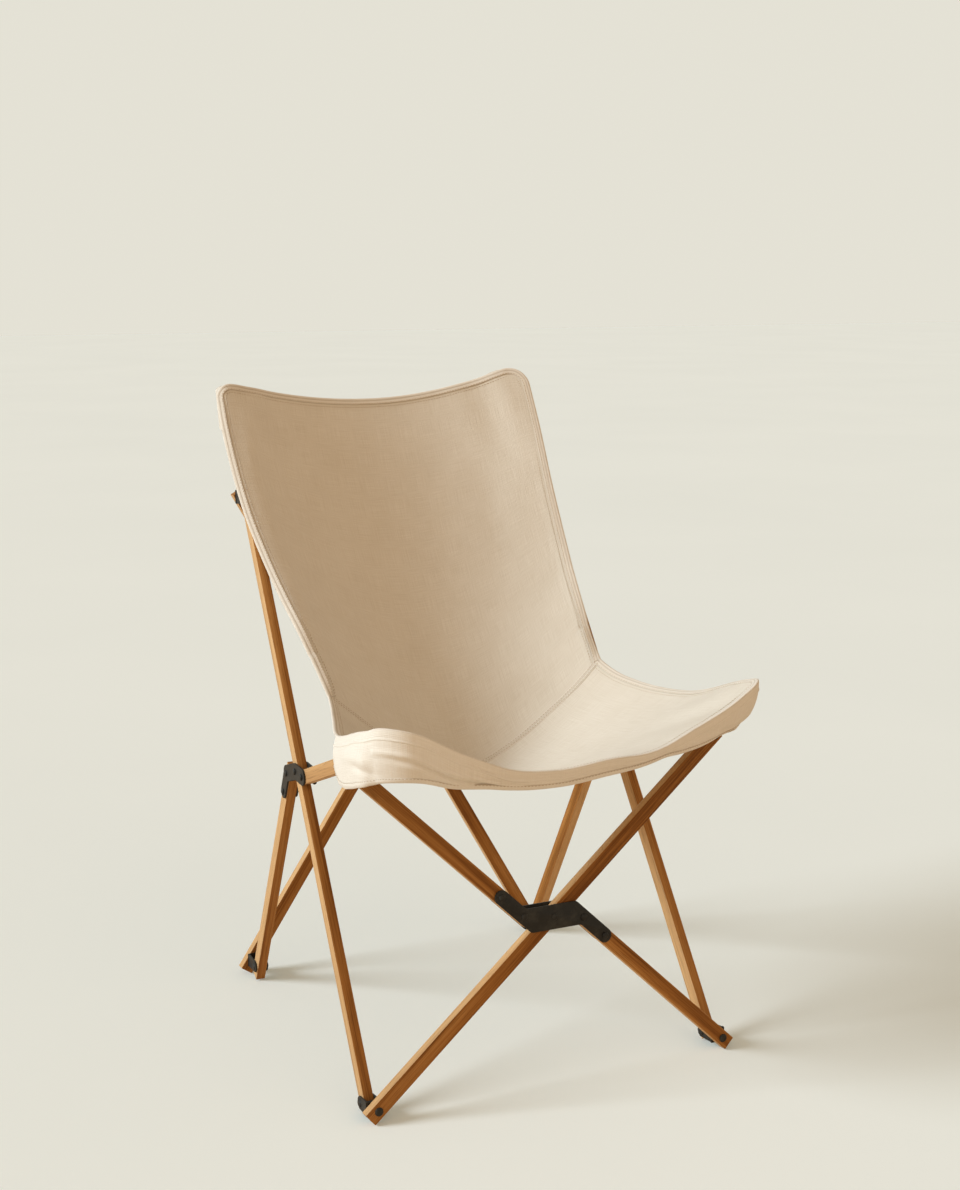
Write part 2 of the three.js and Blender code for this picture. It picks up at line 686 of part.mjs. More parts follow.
// Back pockets: from the top edge back over the stick ends and down behind them.
for (const [label, side] of [
  ["left", -1],
  ["right", 1],
]) {
  const rows = [];
  const path = [
    [0, 0, 0, 1],
    [0.55, 0, 0, 1],
    [1, -3, 0.7, 0.7],
    [1, -POCKET_DROP, 1, 0],
  ];
  for (const [share, rise, backward, upward] of path) {
    const row = [];
    for (let j = 0; j <= 5; j += 1) {
      const across = side * (POCKET_SPAN[0] + ((POCKET_SPAN[1] - POCKET_SPAN[0]) * j) / 5);
      const start = slingPoint(across, 0);
      const normal = slingNormal(across, 0);
      start.addScaledVector(normal, (normal.y > 0 ? 1 : -1) * CLOTH * 0.9);
      start.y += share * POCKET_DEEP;
      start.z += rise - CLOTH / 2;
      const offset = new THREE.Vector3(0, backward, upward).normalize();
      offset.multiplyScalar(CLOTH / 2);
      row.push([start.clone().add(offset), start.clone().sub(offset)]);
    }
    rows.push(row);
  }
  addCloth(`${label}_back_pocket`, sheet(rows));
}

// The origin goes under the middle of everything.
const box = new THREE.Box3().setFromObject(group);
const middle = box.getCenter(new THREE.Vector3());
const shift = new THREE.Vector3(-middle.x, -middle.y, -box.min.z);
group.children.forEach((mesh) => mesh.geometry.translate(shift.x, shift.y, shift.z));

// Pivot points and axes of the fold, in the same frame
const pivotAt = (plane, point) =>
  new THREE.Vector3(point[0], point[1], 0).applyMatrix4(plane).add(shift).toArray();
group.userData.pivots = {
  front_axis: normalOf(frontPlane).toArray(),
  back_axis: normalOf(backPlane).toArray(),
  left_axis: normalOf(leftPlane).toArray(),
  right_axis: normalOf(rightPlane).toArray(),
  front_pivot: pivotAt(frontPlane, front.pivot),
  left_front_bolt: pivotAt(frontPlane, front.throughFoot),
  right_front_bolt: pivotAt(frontPlane, front.lowFoot),
  left_seat_bolt: pivotAt(frontPlane, front.highTop),
  right_seat_bolt: pivotAt(frontPlane, front.throughTop),
  back_pivot: pivotAt(backPlane, back.pivot),
  left_back_bolt: pivotAt(backPlane, back.throughFoot),
};
for (const [label, plane] of [
  ["left", leftPlane],
  ["right", rightPlane],
]) {
  group.userData.pivots[`${label}_front_pin`] = pivotAt(plane, frontPin);
  group.userData.pivots[`${label}_side_pivot`] = pivotAt(plane, sidePivot);
  group.userData.pivots[`${label}_back_pin`] = pivotAt(plane, backFoot);
  group.userData.pivots[`${label}_top_pin`] = pivotAt(plane, backTop);
  group.userData.pivots[`${label}_rail_hole`] = pivotAt(plane, railHole);
}

export default group;
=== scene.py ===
# %% [markdown]
# # A folding butterfly sling chair
# The chair is four crossed pairs of wooden sticks, held by black steel plates and corner brackets,
# with a canvas sling hooked over the stick ends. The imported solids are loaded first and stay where
# they are. The sticks, rivets, crossing plates and cloth are then modelled again with the detail of
# the real ones, and every new piece is told which moving body it rides on.

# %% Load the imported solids
import json
import math

import bpy
import numpy as np
from mathutils import Matrix, Vector

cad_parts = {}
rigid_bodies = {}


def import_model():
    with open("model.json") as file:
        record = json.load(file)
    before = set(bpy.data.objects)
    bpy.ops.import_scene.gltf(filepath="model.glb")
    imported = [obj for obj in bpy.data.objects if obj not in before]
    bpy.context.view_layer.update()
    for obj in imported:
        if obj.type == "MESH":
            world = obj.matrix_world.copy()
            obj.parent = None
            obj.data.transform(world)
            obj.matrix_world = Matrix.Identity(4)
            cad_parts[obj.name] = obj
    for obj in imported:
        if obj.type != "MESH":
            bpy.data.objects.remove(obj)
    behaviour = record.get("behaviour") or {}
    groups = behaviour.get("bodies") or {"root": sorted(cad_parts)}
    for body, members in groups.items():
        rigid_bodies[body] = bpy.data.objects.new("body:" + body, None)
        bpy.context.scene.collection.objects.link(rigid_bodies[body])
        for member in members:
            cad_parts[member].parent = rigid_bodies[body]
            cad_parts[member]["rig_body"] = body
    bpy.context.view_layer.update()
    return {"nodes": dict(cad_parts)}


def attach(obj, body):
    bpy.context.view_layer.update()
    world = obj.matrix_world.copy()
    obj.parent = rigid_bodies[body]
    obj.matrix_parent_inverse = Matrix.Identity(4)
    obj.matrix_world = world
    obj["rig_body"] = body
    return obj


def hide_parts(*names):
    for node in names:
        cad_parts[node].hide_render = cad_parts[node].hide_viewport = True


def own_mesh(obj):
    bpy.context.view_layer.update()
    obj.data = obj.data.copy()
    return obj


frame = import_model()
nodes = frame["nodes"]
scene = bpy.context.scene


# %% [markdown]
# ## Working by hand in code
# An operator works on whatever is selected, and loading leaves every solid selected. So each piece
# starts from an empty selection, and its object is made the only active one.


# %% Selection helpers
def only(piece):
    if bpy.context.object and bpy.context.object.mode != "OBJECT":
        bpy.ops.object.mode_set(mode="OBJECT")
    bpy.ops.object.select_all(action="DESELECT")
    piece.select_set(True)
    bpy.context.view_layer.objects.active = piece
    return piece


def named(name):
    piece = bpy.context.object
    piece.name = name
    piece.data.name = name
    return piece


# %% [markdown]
# ## Shader arithmetic
# A finish is easier to read as a formula than as a chain of boxes. This class holds one socket of
# a shader, turns + - * into Math nodes, and adds any other node with its settings and inputs.


# %% The wire class
class Wire:
    def __init__(self, tree, socket):
        self.tree = tree
        self.socket = socket

    def node(self, kind, settings=None, inputs=None, output=0):
        made = self.tree.nodes.new(kind)
        for key, value in (settings or {}).items():
            if key == "stops":
                ramp = made.color_ramp.elements
                while len(ramp) < len(value):
                    ramp.new(0.5)
                for stop, (place, colour) in zip(ramp, value):
                    stop.position = place
                    stop.color = (*colour, 1)
            else:
                setattr(made, key, value)
        for key, value in (inputs or {}).items():
            if isinstance(value, Wire):
                self.tree.links.new(value.socket, made.inputs[key])
            else:
                made.inputs[key].default_value = value
        return Wire(self.tree, made.outputs[output])

    def math(self, operation, first, second):
        return self.node("ShaderNodeMath", {"operation": operation}, {0: first, 1: second})

    def __add__(self, other):
        return self.math("ADD", self, other)

    def __sub__(self, other):
        return self.math("SUBTRACT", self, other)

    def __rsub__(self, other):
        return self.math("SUBTRACT", other, self)

    def __mul__(self, other):
        return self.math("MULTIPLY", self, other)

    __radd__ = __add__
    __rmul__ = __mul__

    def stretched(self, scale):
        vector = {"Vector": self, "Scale": scale}
        return self.node("ShaderNodeMapping", {"vector_type": "POINT"}, vector)

    def noise(self, scale, detail=2.0, roughness=0.5):
        inputs = {"Vector": self, "Scale": scale, "Detail": detail, "Roughness": roughness}
        return self.node("ShaderNodeTexNoise", None, inputs)

    def between(self, low, high):
        inputs = {"Value": self, "From Min": low, "From Max": high}
        return self.node("ShaderNodeMapRange", {"clamp": True}, inputs)

    def ramp(self, *stops):
        return self.node("ShaderNodeValToRGB", {"stops": stops}, {"Fac": self})

    def mixed(self, first, second):
        settings = {"data_type": "RGBA"}
        first = (*first, 1) if isinstance(first, tuple) else first
        second = (*second, 1) if isinstance(second, tuple) else second
        return self.node("ShaderNodeMix", settings, {0: self, 6: first, 7: second}, 2)

    def bump(self, strength, distance):
        inputs = {"Height": self, "Strength": strength, "Distance": distance}
        return self.node("ShaderNodeBump", None, inputs)


# %% Start and feed a finish
def new_finish(name):
    made = bpy.data.materials.new(name)
    made.use_nodes = True
    tree = made.node_tree
    shader = next(n for n in tree.nodes if n.type == "BSDF_PRINCIPLED")
    return made, Wire(tree, None), shader


def feed(tree, shader, **wires):
    for key, wire in wires.items():
        tree.links.new(wire.socket, shader.inputs[key.replace("_", " ")])


# %% [markdown]
# ## The camera and the light
# The camera stands where the photographer stood: to the left of the chair's front, about one
# metre up, looking slightly down. The lens comes from the same fit. A large soft light stands to
# the left and a little behind, so left faces are bright and front faces are dark. A warm sky fills
# the shade, more from the front than from the rear. The floor returns a warm light to the chair,
# and the camera sees it and the sky in their pale plain colours.

# %% Camera
CAMERA_PLACE = (-1.0896, -2.2982, 1.0793)
CAMERA_DOWN = 10.10
CAMERA_TURN = -25.807
CAMERA_LENS = 54.677

bpy.ops.object.camera_add(
    location=CAMERA_PLACE,
    rotation=(math.radians(90 - CAMERA_DOWN), 0, math.radians(CAMERA_TURN)),
)
camera = named("camera")
camera.data.lens = CAMERA_LENS
camera.data.sensor_width = 36
camera.data.clip_end = 200
scene.camera = camera
scene.view_settings.view_transform = "Standard"
print("camera at", CAMERA_PLACE, "lens mm:", CAMERA_LENS)

# %% Sun
SUN_FROM = Vector((-0.87, 0.19, 0.455))
SUN_SOFTNESS = 24
SUN_LEVEL = 2.95
SUN_COLOUR = (0.87, 0.96, 1.0)

bpy.ops.object.light_add(type="SUN", location=SUN_FROM * 4)
sun = named("soft_sun")
sun.data.energy = SUN_LEVEL
sun.data.angle = math.radians(SUN_SOFTNESS)
sun.data.color = SUN_COLOUR
sun.rotation_euler = SUN_FROM.to_track_quat("Z", "Y").to_euler()
print("sun from", tuple(SUN_FROM))

# %% Sky
FRONT_FILL = (0.72, 0.515, 0.335)
REAR_FILL = (0.26, 0.205, 0.150)
BACKGROUND = (0.778, 0.756, 0.666)
FILL_TURN = 0.7

world = bpy.data.worlds.new("sky")
scene.world = world
world.use_nodes = True
sky = Wire(world.node_tree, None)
background = next(n for n in world.node_tree.nodes if n.type == "BACKGROUND")
ray = sky.node("ShaderNodeLightPath")
seen = ray
for other in ("Is Glossy Ray", "Is Transmission Ray"):
    seen = seen + Wire(world.node_tree, ray.socket.node.outputs[other])
seen = seen.between(0, 1)
way = sky.node("ShaderNodeTexCoord")
ahead = sky.node("ShaderNodeSeparateXYZ", None, {"Vector": way}, 1).between(FILL_TURN, -FILL_TURN)
fill = ahead.mixed(REAR_FILL, FRONT_FILL)
world.node_tree.links.new(seen.mixed(fill, BACKGROUND).socket, background.inputs["Color"])
print("sky nodes:", len(world.node_tree.nodes))

# %% Floor
FLOOR_BOUNCE = (0.76, 0.63, 0.48)
FLOOR_GLOW = (0.085, 0.130, 0.120)
FLOOR_TONES = ((0.79, 0.80, 0.80), (0.81, 0.82, 0.82))
FLOOR_SIZE = 60
FLOOR_DROP = 0.0004
BLACK = (0.0, 0.0, 0.0)

bpy.ops.mesh.primitive_plane_add(size=FLOOR_SIZE, location=(0, 0, -FLOOR_DROP))
floor = named("floor")
floor_finish, wire, shader = new_finish("pale floor")
texture = wire.node("ShaderNodeTexCoord", None, None, 3)
cloudy = texture.noise(0.7, 3.0).between(0.3, 0.7)
looked_at = wire.node("ShaderNodeLightPath")
pale = cloudy.mixed(*FLOOR_TONES)
feed(
    wire.tree,
    shader,
    Base_Color=looked_at.mixed(FLOOR_BOUNCE, pale),
    Emission_Color=looked_at.mixed(BLACK, FLOOR_GLOW),
)
shader.inputs["Emission Strength"].default_value = 1.0
shader.inputs["Roughness"].default_value = 0.85
shader.inputs["Specular IOR Level"].default_value = 0.05
floor.data.materials.append(floor_finish)
print("floor m:", FLOOR_SIZE)

# %% [markdown]
# ## The wood
# The sticks are brown oiled hardwood with long straight grain. Each stick carries its own
# coordinates in an attribute, along, across and through, so that one finish can stretch its
# fibres along every stick whichever way that stick leans. The narrow sides are painted paler than
# the broad faces, partly as the edge of the grain and partly as painted light for the sun on their
# lit sides, and a second attribute tells the two apart.

# %% Oiled wood
LIGHT_GRAIN = (0.52, 0.270, 0.090)
MID_GRAIN = (0.365, 0.160, 0.040)
DARK_GRAIN = (0.155, 0.054, 0.010)
# paler colour of the narrow sides: partly edge grain, partly painted light for their sunlit faces
EDGE_GRAIN_AND_PAINTED_LIGHT = (0.660, 0.440, 0.225)
WARM_GRAIN = (0.265, 0.105, 0.024)
PORE = (0.110, 0.045, 0.012)

oiled_wood, wire, shader = new_finish("oiled brown wood")
grain = wire.node("ShaderNodeAttribute", {"attribute_name": "grain"}, None, 1)
figure = grain.stretched((1.1, 42.0, 42.0)).noise(1.6, 3.0, 0.55)
fibre = grain.stretched((9.0, 620.0, 620.0)).noise(1.0, 3.0, 0.6)
pores = grain.stretched((26.0, 1500.0, 1500.0)).noise(1.0, 1.0).between(0.60, 0.72)
tone = grain.stretched((0.6, 0.6, 0.6)).noise(3.0, 1.0).between(0.32, 0.68)
streaks = (0.62 * figure + 0.38 * fibre).between(0.36, 0.65)
bare = streaks.ramp((0.0, DARK_GRAIN), (0.45, MID_GRAIN), (1.0, LIGHT_GRAIN))
warm = (0.35 * tone).mixed(bare, WARM_GRAIN)
# the narrow sides and the rails' broad faces are painted paler: partly edge grain, partly painted
# light standing in for the sun on their lit faces
sides = wire.node("ShaderNodeAttribute", {"attribute_name": "edge"}, None, 1)
edge = wire.node("ShaderNodeSeparateXYZ", None, {"Vector": sides})
painted_lit_sides = (edge * (0.55 + 0.35 * streaks)).mixed(warm, EDGE_GRAIN_AND_PAINTED_LIGHT)
feed(
    wire.tree,
    shader,
    Base_Color=(0.55 * pores).mixed(painted_lit_sides, PORE),
    Roughness=0.40 + 0.16 * fibre + 0.1 * pores,
    Normal=(fibre - 0.6 * pores).bump(0.35, 0.0004),
)
shader.inputs["Specular IOR Level"].default_value = 0.10
print("wood nodes:", len(wire.tree.nodes))

# %% [markdown]
# ## The sticks
# A real stick is a planed square bar with its edges eased by sandpaper. A cube at the stick's size
# with all its edges bevelled gives that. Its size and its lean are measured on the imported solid,
# from the directions of its two largest pairs of faces, so nothing has to be fitted.


# %% Points, attributes and shading
def points_of(mesh):
    flat = np.empty(len(mesh.vertices) * 3)
    mesh.vertices.foreach_get("co", flat)
    return flat.reshape(-1, 3)


def move_points(mesh, places):
    mesh.vertices.foreach_set("co", np.asarray(places, np.float32).ravel())
    mesh.update()


def keep_attribute(mesh, name, vectors):
    made = mesh.attributes.new(name, "FLOAT_VECTOR", "POINT")
    made.data.foreach_set("vector", np.asarray(vectors, np.float32).ravel())


def smooth(piece, degrees=35):
    only(piece)
    bpy.ops.object.shade_smooth_by_angle(angle=math.radians(degrees))


# %% Measure a stick
def faces_by_direction(mesh):
    found = {}
    for face in mesh.polygons:
        way = face.normal if max(face.normal, key=abs) > 0 else -face.normal
        place = tuple(round(c, 2) for c in way)
        total, _ = found.get(place, (0, None))
        found[place] = (total + face.area, way.copy())
    return [way for _, way in sorted(found.values(), key=lambda pair: -pair[0])]


def stick_frame(mesh):
    through, across = faces_by_direction(mesh)[:2]
    along = across.cross(through).normalized()
    turn = np.array([along, across, through])
    local = points_of(mesh) @ turn.T
    return turn, local.min(0), local.max(0)


# %% Model the sticks
EASED_EDGE = 0.0009
# how much paler the rails' broad faces are painted, as painted light for their sunlit side
RAIL_PAINTED_LIGHT = 0.6
# the next stick's grain starts this much farther along, across and through
GRAIN_SHIFT = np.array([1.3, 0.37, 0.21])
CROSS_PARTS = ("through_stick", "lower_half", "upper_half")
SIDE_PARTS = ("long_stick", "back_leg", "seat_rail")
STICK_NODES = [f"{cross}_{part}" for cross in ("front", "back") for part in CROSS_PARTS]
STICK_NODES += [f"{side}_{part}" for side in ("left", "right") for part in SIDE_PARTS]


def model_stick(node, number):
    turn, low, high = stick_frame(nodes[node].data)
    bpy.ops.object.select_all(action="DESELECT")
    bpy.ops.mesh.primitive_cube_add(size=1, scale=tuple(high - low))
    piece = named(f"{node}.wood")
    bpy.ops.object.transform_apply(scale=True)
    bpy.ops.object.mode_set(mode="EDIT")
    bpy.ops.mesh.select_all(action="SELECT")
    bpy.ops.mesh.bevel(offset=EASED_EDGE, segments=3, profile=0.5, affect="EDGES")
    bpy.ops.object.mode_set(mode="OBJECT")
    local = points_of(piece.data)
    keep_attribute(piece.data, "grain", local + GRAIN_SHIFT * (number + 1))
    # the 'edge' attribute marks the faces painted paler: partly edge grain, partly painted light on
    # the sunlit faces
    broad = RAIL_PAINTED_LIGHT if "rail" in node else 0.0
    narrow = np.abs(local[:, 1]) > (high - low)[1] / 2 - 0.2 * EASED_EDGE
    keep_attribute(piece.data, "edge", np.where(narrow, 1.0, broad)[:, None] * np.ones(3))
    move_points(piece.data, (local + (low + high) / 2) @ turn)
    if np.linalg.det(turn) < 0:
        piece.data.flip_normals()
    smooth(piece)
    piece.data.materials.append(oiled_wood)
    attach(piece, nodes[node]["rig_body"])
    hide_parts(node)
    return high - low


for number, node in enumerate(STICK_NODES):
    size = model_stick(node, number)
    print(node, "mm:", [round(1000 * s, 1) for s in size])

# %% [markdown]
# ## The steel
# Plates and brackets are sheet steel with a matte black coat. The side plates and the corner
# brackets have the right shape, so these solids stay, and a narrow bevel on their edges catches the
# light as a pressed edge does.

# %% Matte black coat
COAT_TONES = ((0.022, 0.022, 0.020), (0.050, 0.050, 0.045))

black_coat, wire, shader = new_finish("matte black coat")
spot = wire.node("ShaderNodeTexCoord", None, None, 3)
fine = spot.noise(900.0, 2.0)
worn = spot.noise(60.0, 4.0, 0.65).between(0.45, 0.75)
feed(
    wire.tree,
    shader,
    Base_Color=worn.mixed(*COAT_TONES),
    Roughness=0.44 + 0.2 * worn,
    Normal=fine.bump(0.25, 0.0003),
)
shader.inputs["Specular IOR Level"].default_value = 0.18
print("coat nodes:", len(wire.tree.nodes))

# %% Press the edges
PRESSED_EDGE = 0.0005
PRESSED_LIMIT = math.radians(50)
WELDED = 0.00002
STEEL_ENDS = ("plate_left", "plate_right", "front_foot", "seat_corner", "back_foot", "back_top")
STEEL_NODES = [n for n in nodes if n.endswith(STEEL_ENDS)]
for node in STEEL_NODES:
    solid = nodes[node]
    weld = solid.modifiers.new("weld", "WELD")
    weld.merge_threshold = WELDED
    edge = solid.modifiers.new("pressed edge", "BEVEL")
    edge.width = PRESSED_EDGE
    edge.segments = 2
    edge.angle_limit = PRESSED_LIMIT
    edge.use_clamp_overlap = False
    solid.data.materials.clear()
    solid.data.materials.append(black_coat)
print("steel solids:", len(STEEL_NODES))

# %% [markdown]
# ## The rivets
# Each rivet has a low domed head on both faces of its plates. One rivet is modelled from a circle:
# it is extruded and drawn in ring by ring, which is how a lathe would cut it, and a copy with its
# own mesh is laid along every riveted hole.


# %% Modifiers and outward faces
def apply_modifier(piece, kind, **settings):
    only(piece)
    added = piece.modifiers.new(kind.title(), kind)
    for key, value in settings.items():
        setattr(added, key, value)
    bpy.ops.object.modifier_apply(modifier=added.name)


def face_outward(piece):
    only(piece)
    bpy.ops.object.mode_set(mode="EDIT")
    bpy.ops.mesh.select_all(action="SELECT")
    bpy.ops.mesh.normals_make_consistent(inside=False)
    bpy.ops.object.mode_set(mode="OBJECT")


# %% Model one rivet
RIVET_SIDES = 20
RIVET_SHANK = 0.0024
# radius, height over the plate
RIVET_RINGS = [
    (0.0046, 0.0), (0.0046, 0.0009), (0.0041, 0.0016), (0.0030, 0.0021), (0.0014, 0.0023),
]
RIVET_HEAD = RIVET_RINGS[-1][1]


def model_rivet(half_length):
    bpy.ops.object.select_all(action="DESELECT")
    bpy.ops.mesh.primitive_circle_add(
        vertices=RIVET_SIDES, radius=RIVET_SHANK, fill_type="NOTHING"
    )
    piece = named("rivet")
    bpy.ops.object.mode_set(mode="EDIT")
    bpy.ops.mesh.select_all(action="SELECT")
    radius, height = RIVET_SHANK, 0.0
    rings = [(RIVET_SHANK, half_length - RIVET_HEAD)]
    rings += [(r, half_length - RIVET_HEAD + h) for r, h in RIVET_RINGS]
    for next_radius, next_height in rings:
        bpy.ops.mesh.extrude_edges_move(
            TRANSFORM_OT_translate={"value": (0, 0, next_height - height)}
        )
        grow = next_radius / radius
        bpy.ops.transform.resize(value=(grow, grow, 1))
        radius, height = next_radius, next_height
    bpy.ops.mesh.edge_face_add()
    bpy.ops.object.mode_set(mode="OBJECT")
    apply_modifier(piece, "MIRROR", use_axis=(False, False, True), merge_threshold=1e-6)
    face_outward(piece)
    smooth(piece, 40)
    return piece


# %% Lay the rivets
RIVET_NODES = [n for n in nodes if "rivet" in n] + [n for n in nodes if "back_bolt" in n]


def long_way(mesh):
    places = points_of(mesh)
    middle = (places.min(0) + places.max(0)) / 2
    _, _, ways = np.linalg.svd(places - places.mean(0))
    reach = (places - middle) @ ways[0]
    return Vector(middle), Vector(ways[0]), float(reach.max() - reach.min())


for node in RIVET_NODES:
    middle, way, length = long_way(nodes[node].data)
    piece = model_rivet(length / 2)
    piece.name = piece.data.name = f"{node}.steel"
    lay = Matrix.Translation(middle) @ way.to_track_quat("Z", "Y").to_matrix().to_4x4()
    piece.data.transform(lay)
    piece.data.materials.append(black_coat)
    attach(piece, nodes[node]["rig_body"])
    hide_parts(node)
print("rivets and bolts:", len(RIVET_NODES))

# %% [markdown]
# ## The crossing brackets
# Where two sticks cross, a pair of plates holds them. Each plate is cut to a Z, a wide bar with an
# arm at each end. Two rivets give the line of one arm, its edges are run on until they meet the
# edges of the bar, and a half turn about the pivot gives the other arm.

# %% Draw a bracket plate
ARM_HALF = 0.0100
BAR_HALF = 0.0168
SOFT_CORNER = 0.0035
CORNER_POINTS = 7
CAP_POINTS = 17


def unit(vectors):
    return vectors / np.linalg.norm(vectors, axis=-1, keepdims=True)


def round_corner(before, corner, after):
    start = corner + SOFT_CORNER * unit(before - corner)
    end = corner + SOFT_CORNER * unit(after - corner)
    t = np.linspace(0, 1, CORNER_POINTS)[:, None]
    return (1 - t) ** 2 * start + 2 * t * (1 - t) * corner + t**2 * end


def plate_outline(knee, tip):
    way = unit(tip - knee)
    side = np.array([-way[1], way[0]]) * ARM_HALF
    outer = tip + side - way * ((tip + side)[1] - BAR_HALF) / way[1]
    inner = tip - side - way * ((tip - side)[1] + BAR_HALF) / way[1]
    turn = np.linspace(math.pi / 2, -math.pi / 2, CAP_POINTS)[:, None]
    cap = tip + np.cos(turn) * way * ARM_HALF + np.sin(turn) * side
    half = [round_corner(-inner, outer, cap[0]), cap, round_corner(cap[-1], inner, -outer)]
    half = np.vstack(half)
    return np.vstack([half, -half])


# %% Model the bracket plates
def new_piece(name, corners, faces):
    mesh = bpy.data.meshes.new(name)
    mesh.from_pydata(corners.tolist(), [], faces)
    piece = bpy.data.objects.new(name, mesh)
    scene.collection.objects.link(piece)
    return only(piece)


def model_plate(node, label):
    normal = np.array(faces_by_direction(nodes[node].data)[0])
    pivot, knee, tip = (
        np.array(long_way(nodes[f"{label}_{rivet}"].data)[0])
        for rivet in ("pivot_rivet", "rivet_1", "rivet_2")
    )
    axes = np.array([(1.0, 0.0, 0.0), np.cross(normal, (1.0, 0.0, 0.0))])
    axes[1] *= np.sign(axes[1, 2])
    outline = plate_outline(axes @ (knee - pivot), axes @ (tip - pivot))
    heights = points_of(nodes[node].data) @ normal
    corners = pivot + outline @ axes + normal * (heights.min() - pivot @ normal)
    piece = new_piece(f"{node}.steel", corners, [tuple(range(len(corners)))])
    bpy.ops.object.mode_set(mode="EDIT")
    bpy.ops.mesh.select_all(action="SELECT")
    rise = normal * (heights.max() - heights.min())
    bpy.ops.mesh.extrude_region_move(TRANSFORM_OT_translate={"value": tuple(rise)})
    bpy.ops.object.mode_set(mode="OBJECT")
    face_outward(piece)
    apply_modifier(piece, "BEVEL", width=PRESSED_EDGE, segments=2, angle_limit=PRESSED_LIMIT)
    smooth(piece, 40)
    piece.data.materials.append(black_coat)
    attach(piece, nodes[node]["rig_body"])
    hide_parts(node)
    return piece


for label in ("front", "back"):
    for layer in ("fore", "aft"):
        plate = model_plate(f"{label}_plate_{layer}", label)
        print(plate.name, "faces:", len(plate.data.polygons))

# %% [markdown]
# ## The canvas
# Natural cotton canvas is warm white with slubs, threads a little thicker than the rest, running
# both ways. The cloth pieces carry flat coordinates in metres, so the weave keeps its size over
# every fold.

# %% Cotton canvas
THREAD = 0.0011
# colour of the painted shadow lines at the tape's step, in its groove, along the seam and at the
# hem's fold
PAINTED_SEAM_SHADOW = (0.330, 0.255, 0.175)


def canvas(name, light, deep):
    made, wire, shader = new_finish(name)
    flat = wire.node("ShaderNodeAttribute", {"attribute_name": "flat"}, None, 1)
    warp = flat.stretched((1000.0, 24.0, 1.0)).noise(1.0, 2.0)
    weft = flat.stretched((24.0, 1000.0, 1.0)).noise(1.0, 2.0)
    slub = (0.5 * warp + 0.5 * weft).between(0.38, 0.62)
    cloud = flat.noise(13.0, 3.0).between(0.3, 0.7)
    threads = {"Vector": flat, "Scale": math.pi / (20 * THREAD)}
    over, under = (
        wire.node("ShaderNodeTexWave", {"wave_type": "BANDS", "bands_direction": way}, threads)
        for way in "XY"
    )
    weave = over + under
    # share of painted shadow, carried in the third coordinate of flat
    painted_shadow = wire.node("ShaderNodeSeparateXYZ", None, {"Vector": flat}, 2)
    woven = (0.74 * slub + 0.26 * cloud).mixed(deep, light)
    feed(
        wire.tree,
        shader,
        Base_Color=(0.75 * painted_shadow).mixed(woven, PAINTED_SEAM_SHADOW),
        Normal=(0.7 * slub + 0.25 * weave).bump(0.55, 0.0006),
    )
    shader.inputs["Roughness"].default_value = 0.92
    shader.inputs["Specular IOR Level"].default_value = 0.12
    shader.inputs["Sheen Weight"].default_value = 0.10
    shader.inputs["Sheen Roughness"].default_value = 0.5
    return made


# %% Canvas, tape and thread
THREAD_TONES = ((0.42, 0.33, 0.23), (0.54, 0.44, 0.32))
# light, deep
CANVAS_TONES = ((0.770, 0.735, 0.660), (0.665, 0.620, 0.535))
# paler copy of the canvas for the hem, its fold and its welt: painted light that brightens the
# shaded hem front
HEM_TONES_PAINTED_LIGHTER = ((0.850, 0.825, 0.760), (0.765, 0.730, 0.655))
TAPE_TONES = ((0.805, 0.770, 0.700), (0.720, 0.675, 0.595))

cotton = canvas("cotton canvas", *CANVAS_TONES)
hem_canvas_painted_lighter = canvas("doubled cotton canvas", *HEM_TONES_PAINTED_LIGHTER)
edge_tape = canvas("cotton edge tape", *TAPE_TONES)
thread_finish, wire, shader = new_finish("sewing thread")
spot = wire.node("ShaderNodeTexCoord", None, None, 3)
twist = spot.noise(1400.0, 1.0)
feed(wire.tree, shader, Base_Color=twist.mixed(*THREAD_TONES))
shader.inputs["Roughness"].default_value = 0.7
print("cloth finishes:", cotton.name, hem_canvas_painted_lighter.name, edge_tape.name, thread_finish.name)

# %% [markdown]
# ## The form of the sling
# The sling hangs from its four corners, and like any cover pulled over a frame by hand it sits a
# little unevenly. Ten stations run from the top edge to the front edge. Each one gives the place of
# the left edge, of the right edge and of the middle, how sharply the cloth turns up towards the
# edge, and where it starts to lie flat over its stick. A smooth curve through the stations gives
# any point between them.

# %% Stations of the sling
# half width, back, up
LEFT_EDGE = np.array([
    (0.2557, 0.3386, 0.9120), (0.2597, 0.2860, 0.8363), (0.2544, 0.2221, 0.7400),
    (0.2403, 0.1556, 0.6552), (0.2238, 0.0786, 0.5777), (0.2110, 0.0036, 0.4985),
    (0.2335, -0.0714, 0.4868), (0.2654, -0.1694, 0.4883), (0.2765, -0.2734, 0.5160),
    (0.2727, -0.3494, 0.5411),
])
RIGHT_EDGE = np.array([
    (0.2618, 0.3386, 0.9300), (0.2620, 0.2860, 0.8367), (0.2543, 0.2221, 0.7403),
    (0.2461, 0.1556, 0.6552), (0.2338, 0.0786, 0.5784), (0.2224, 0.0036, 0.5097),
    (0.2478, -0.0714, 0.4882), (0.2719, -0.1694, 0.4928), (0.2778, -0.2734, 0.5267),
    (0.2790, -0.3374, 0.5446),
])
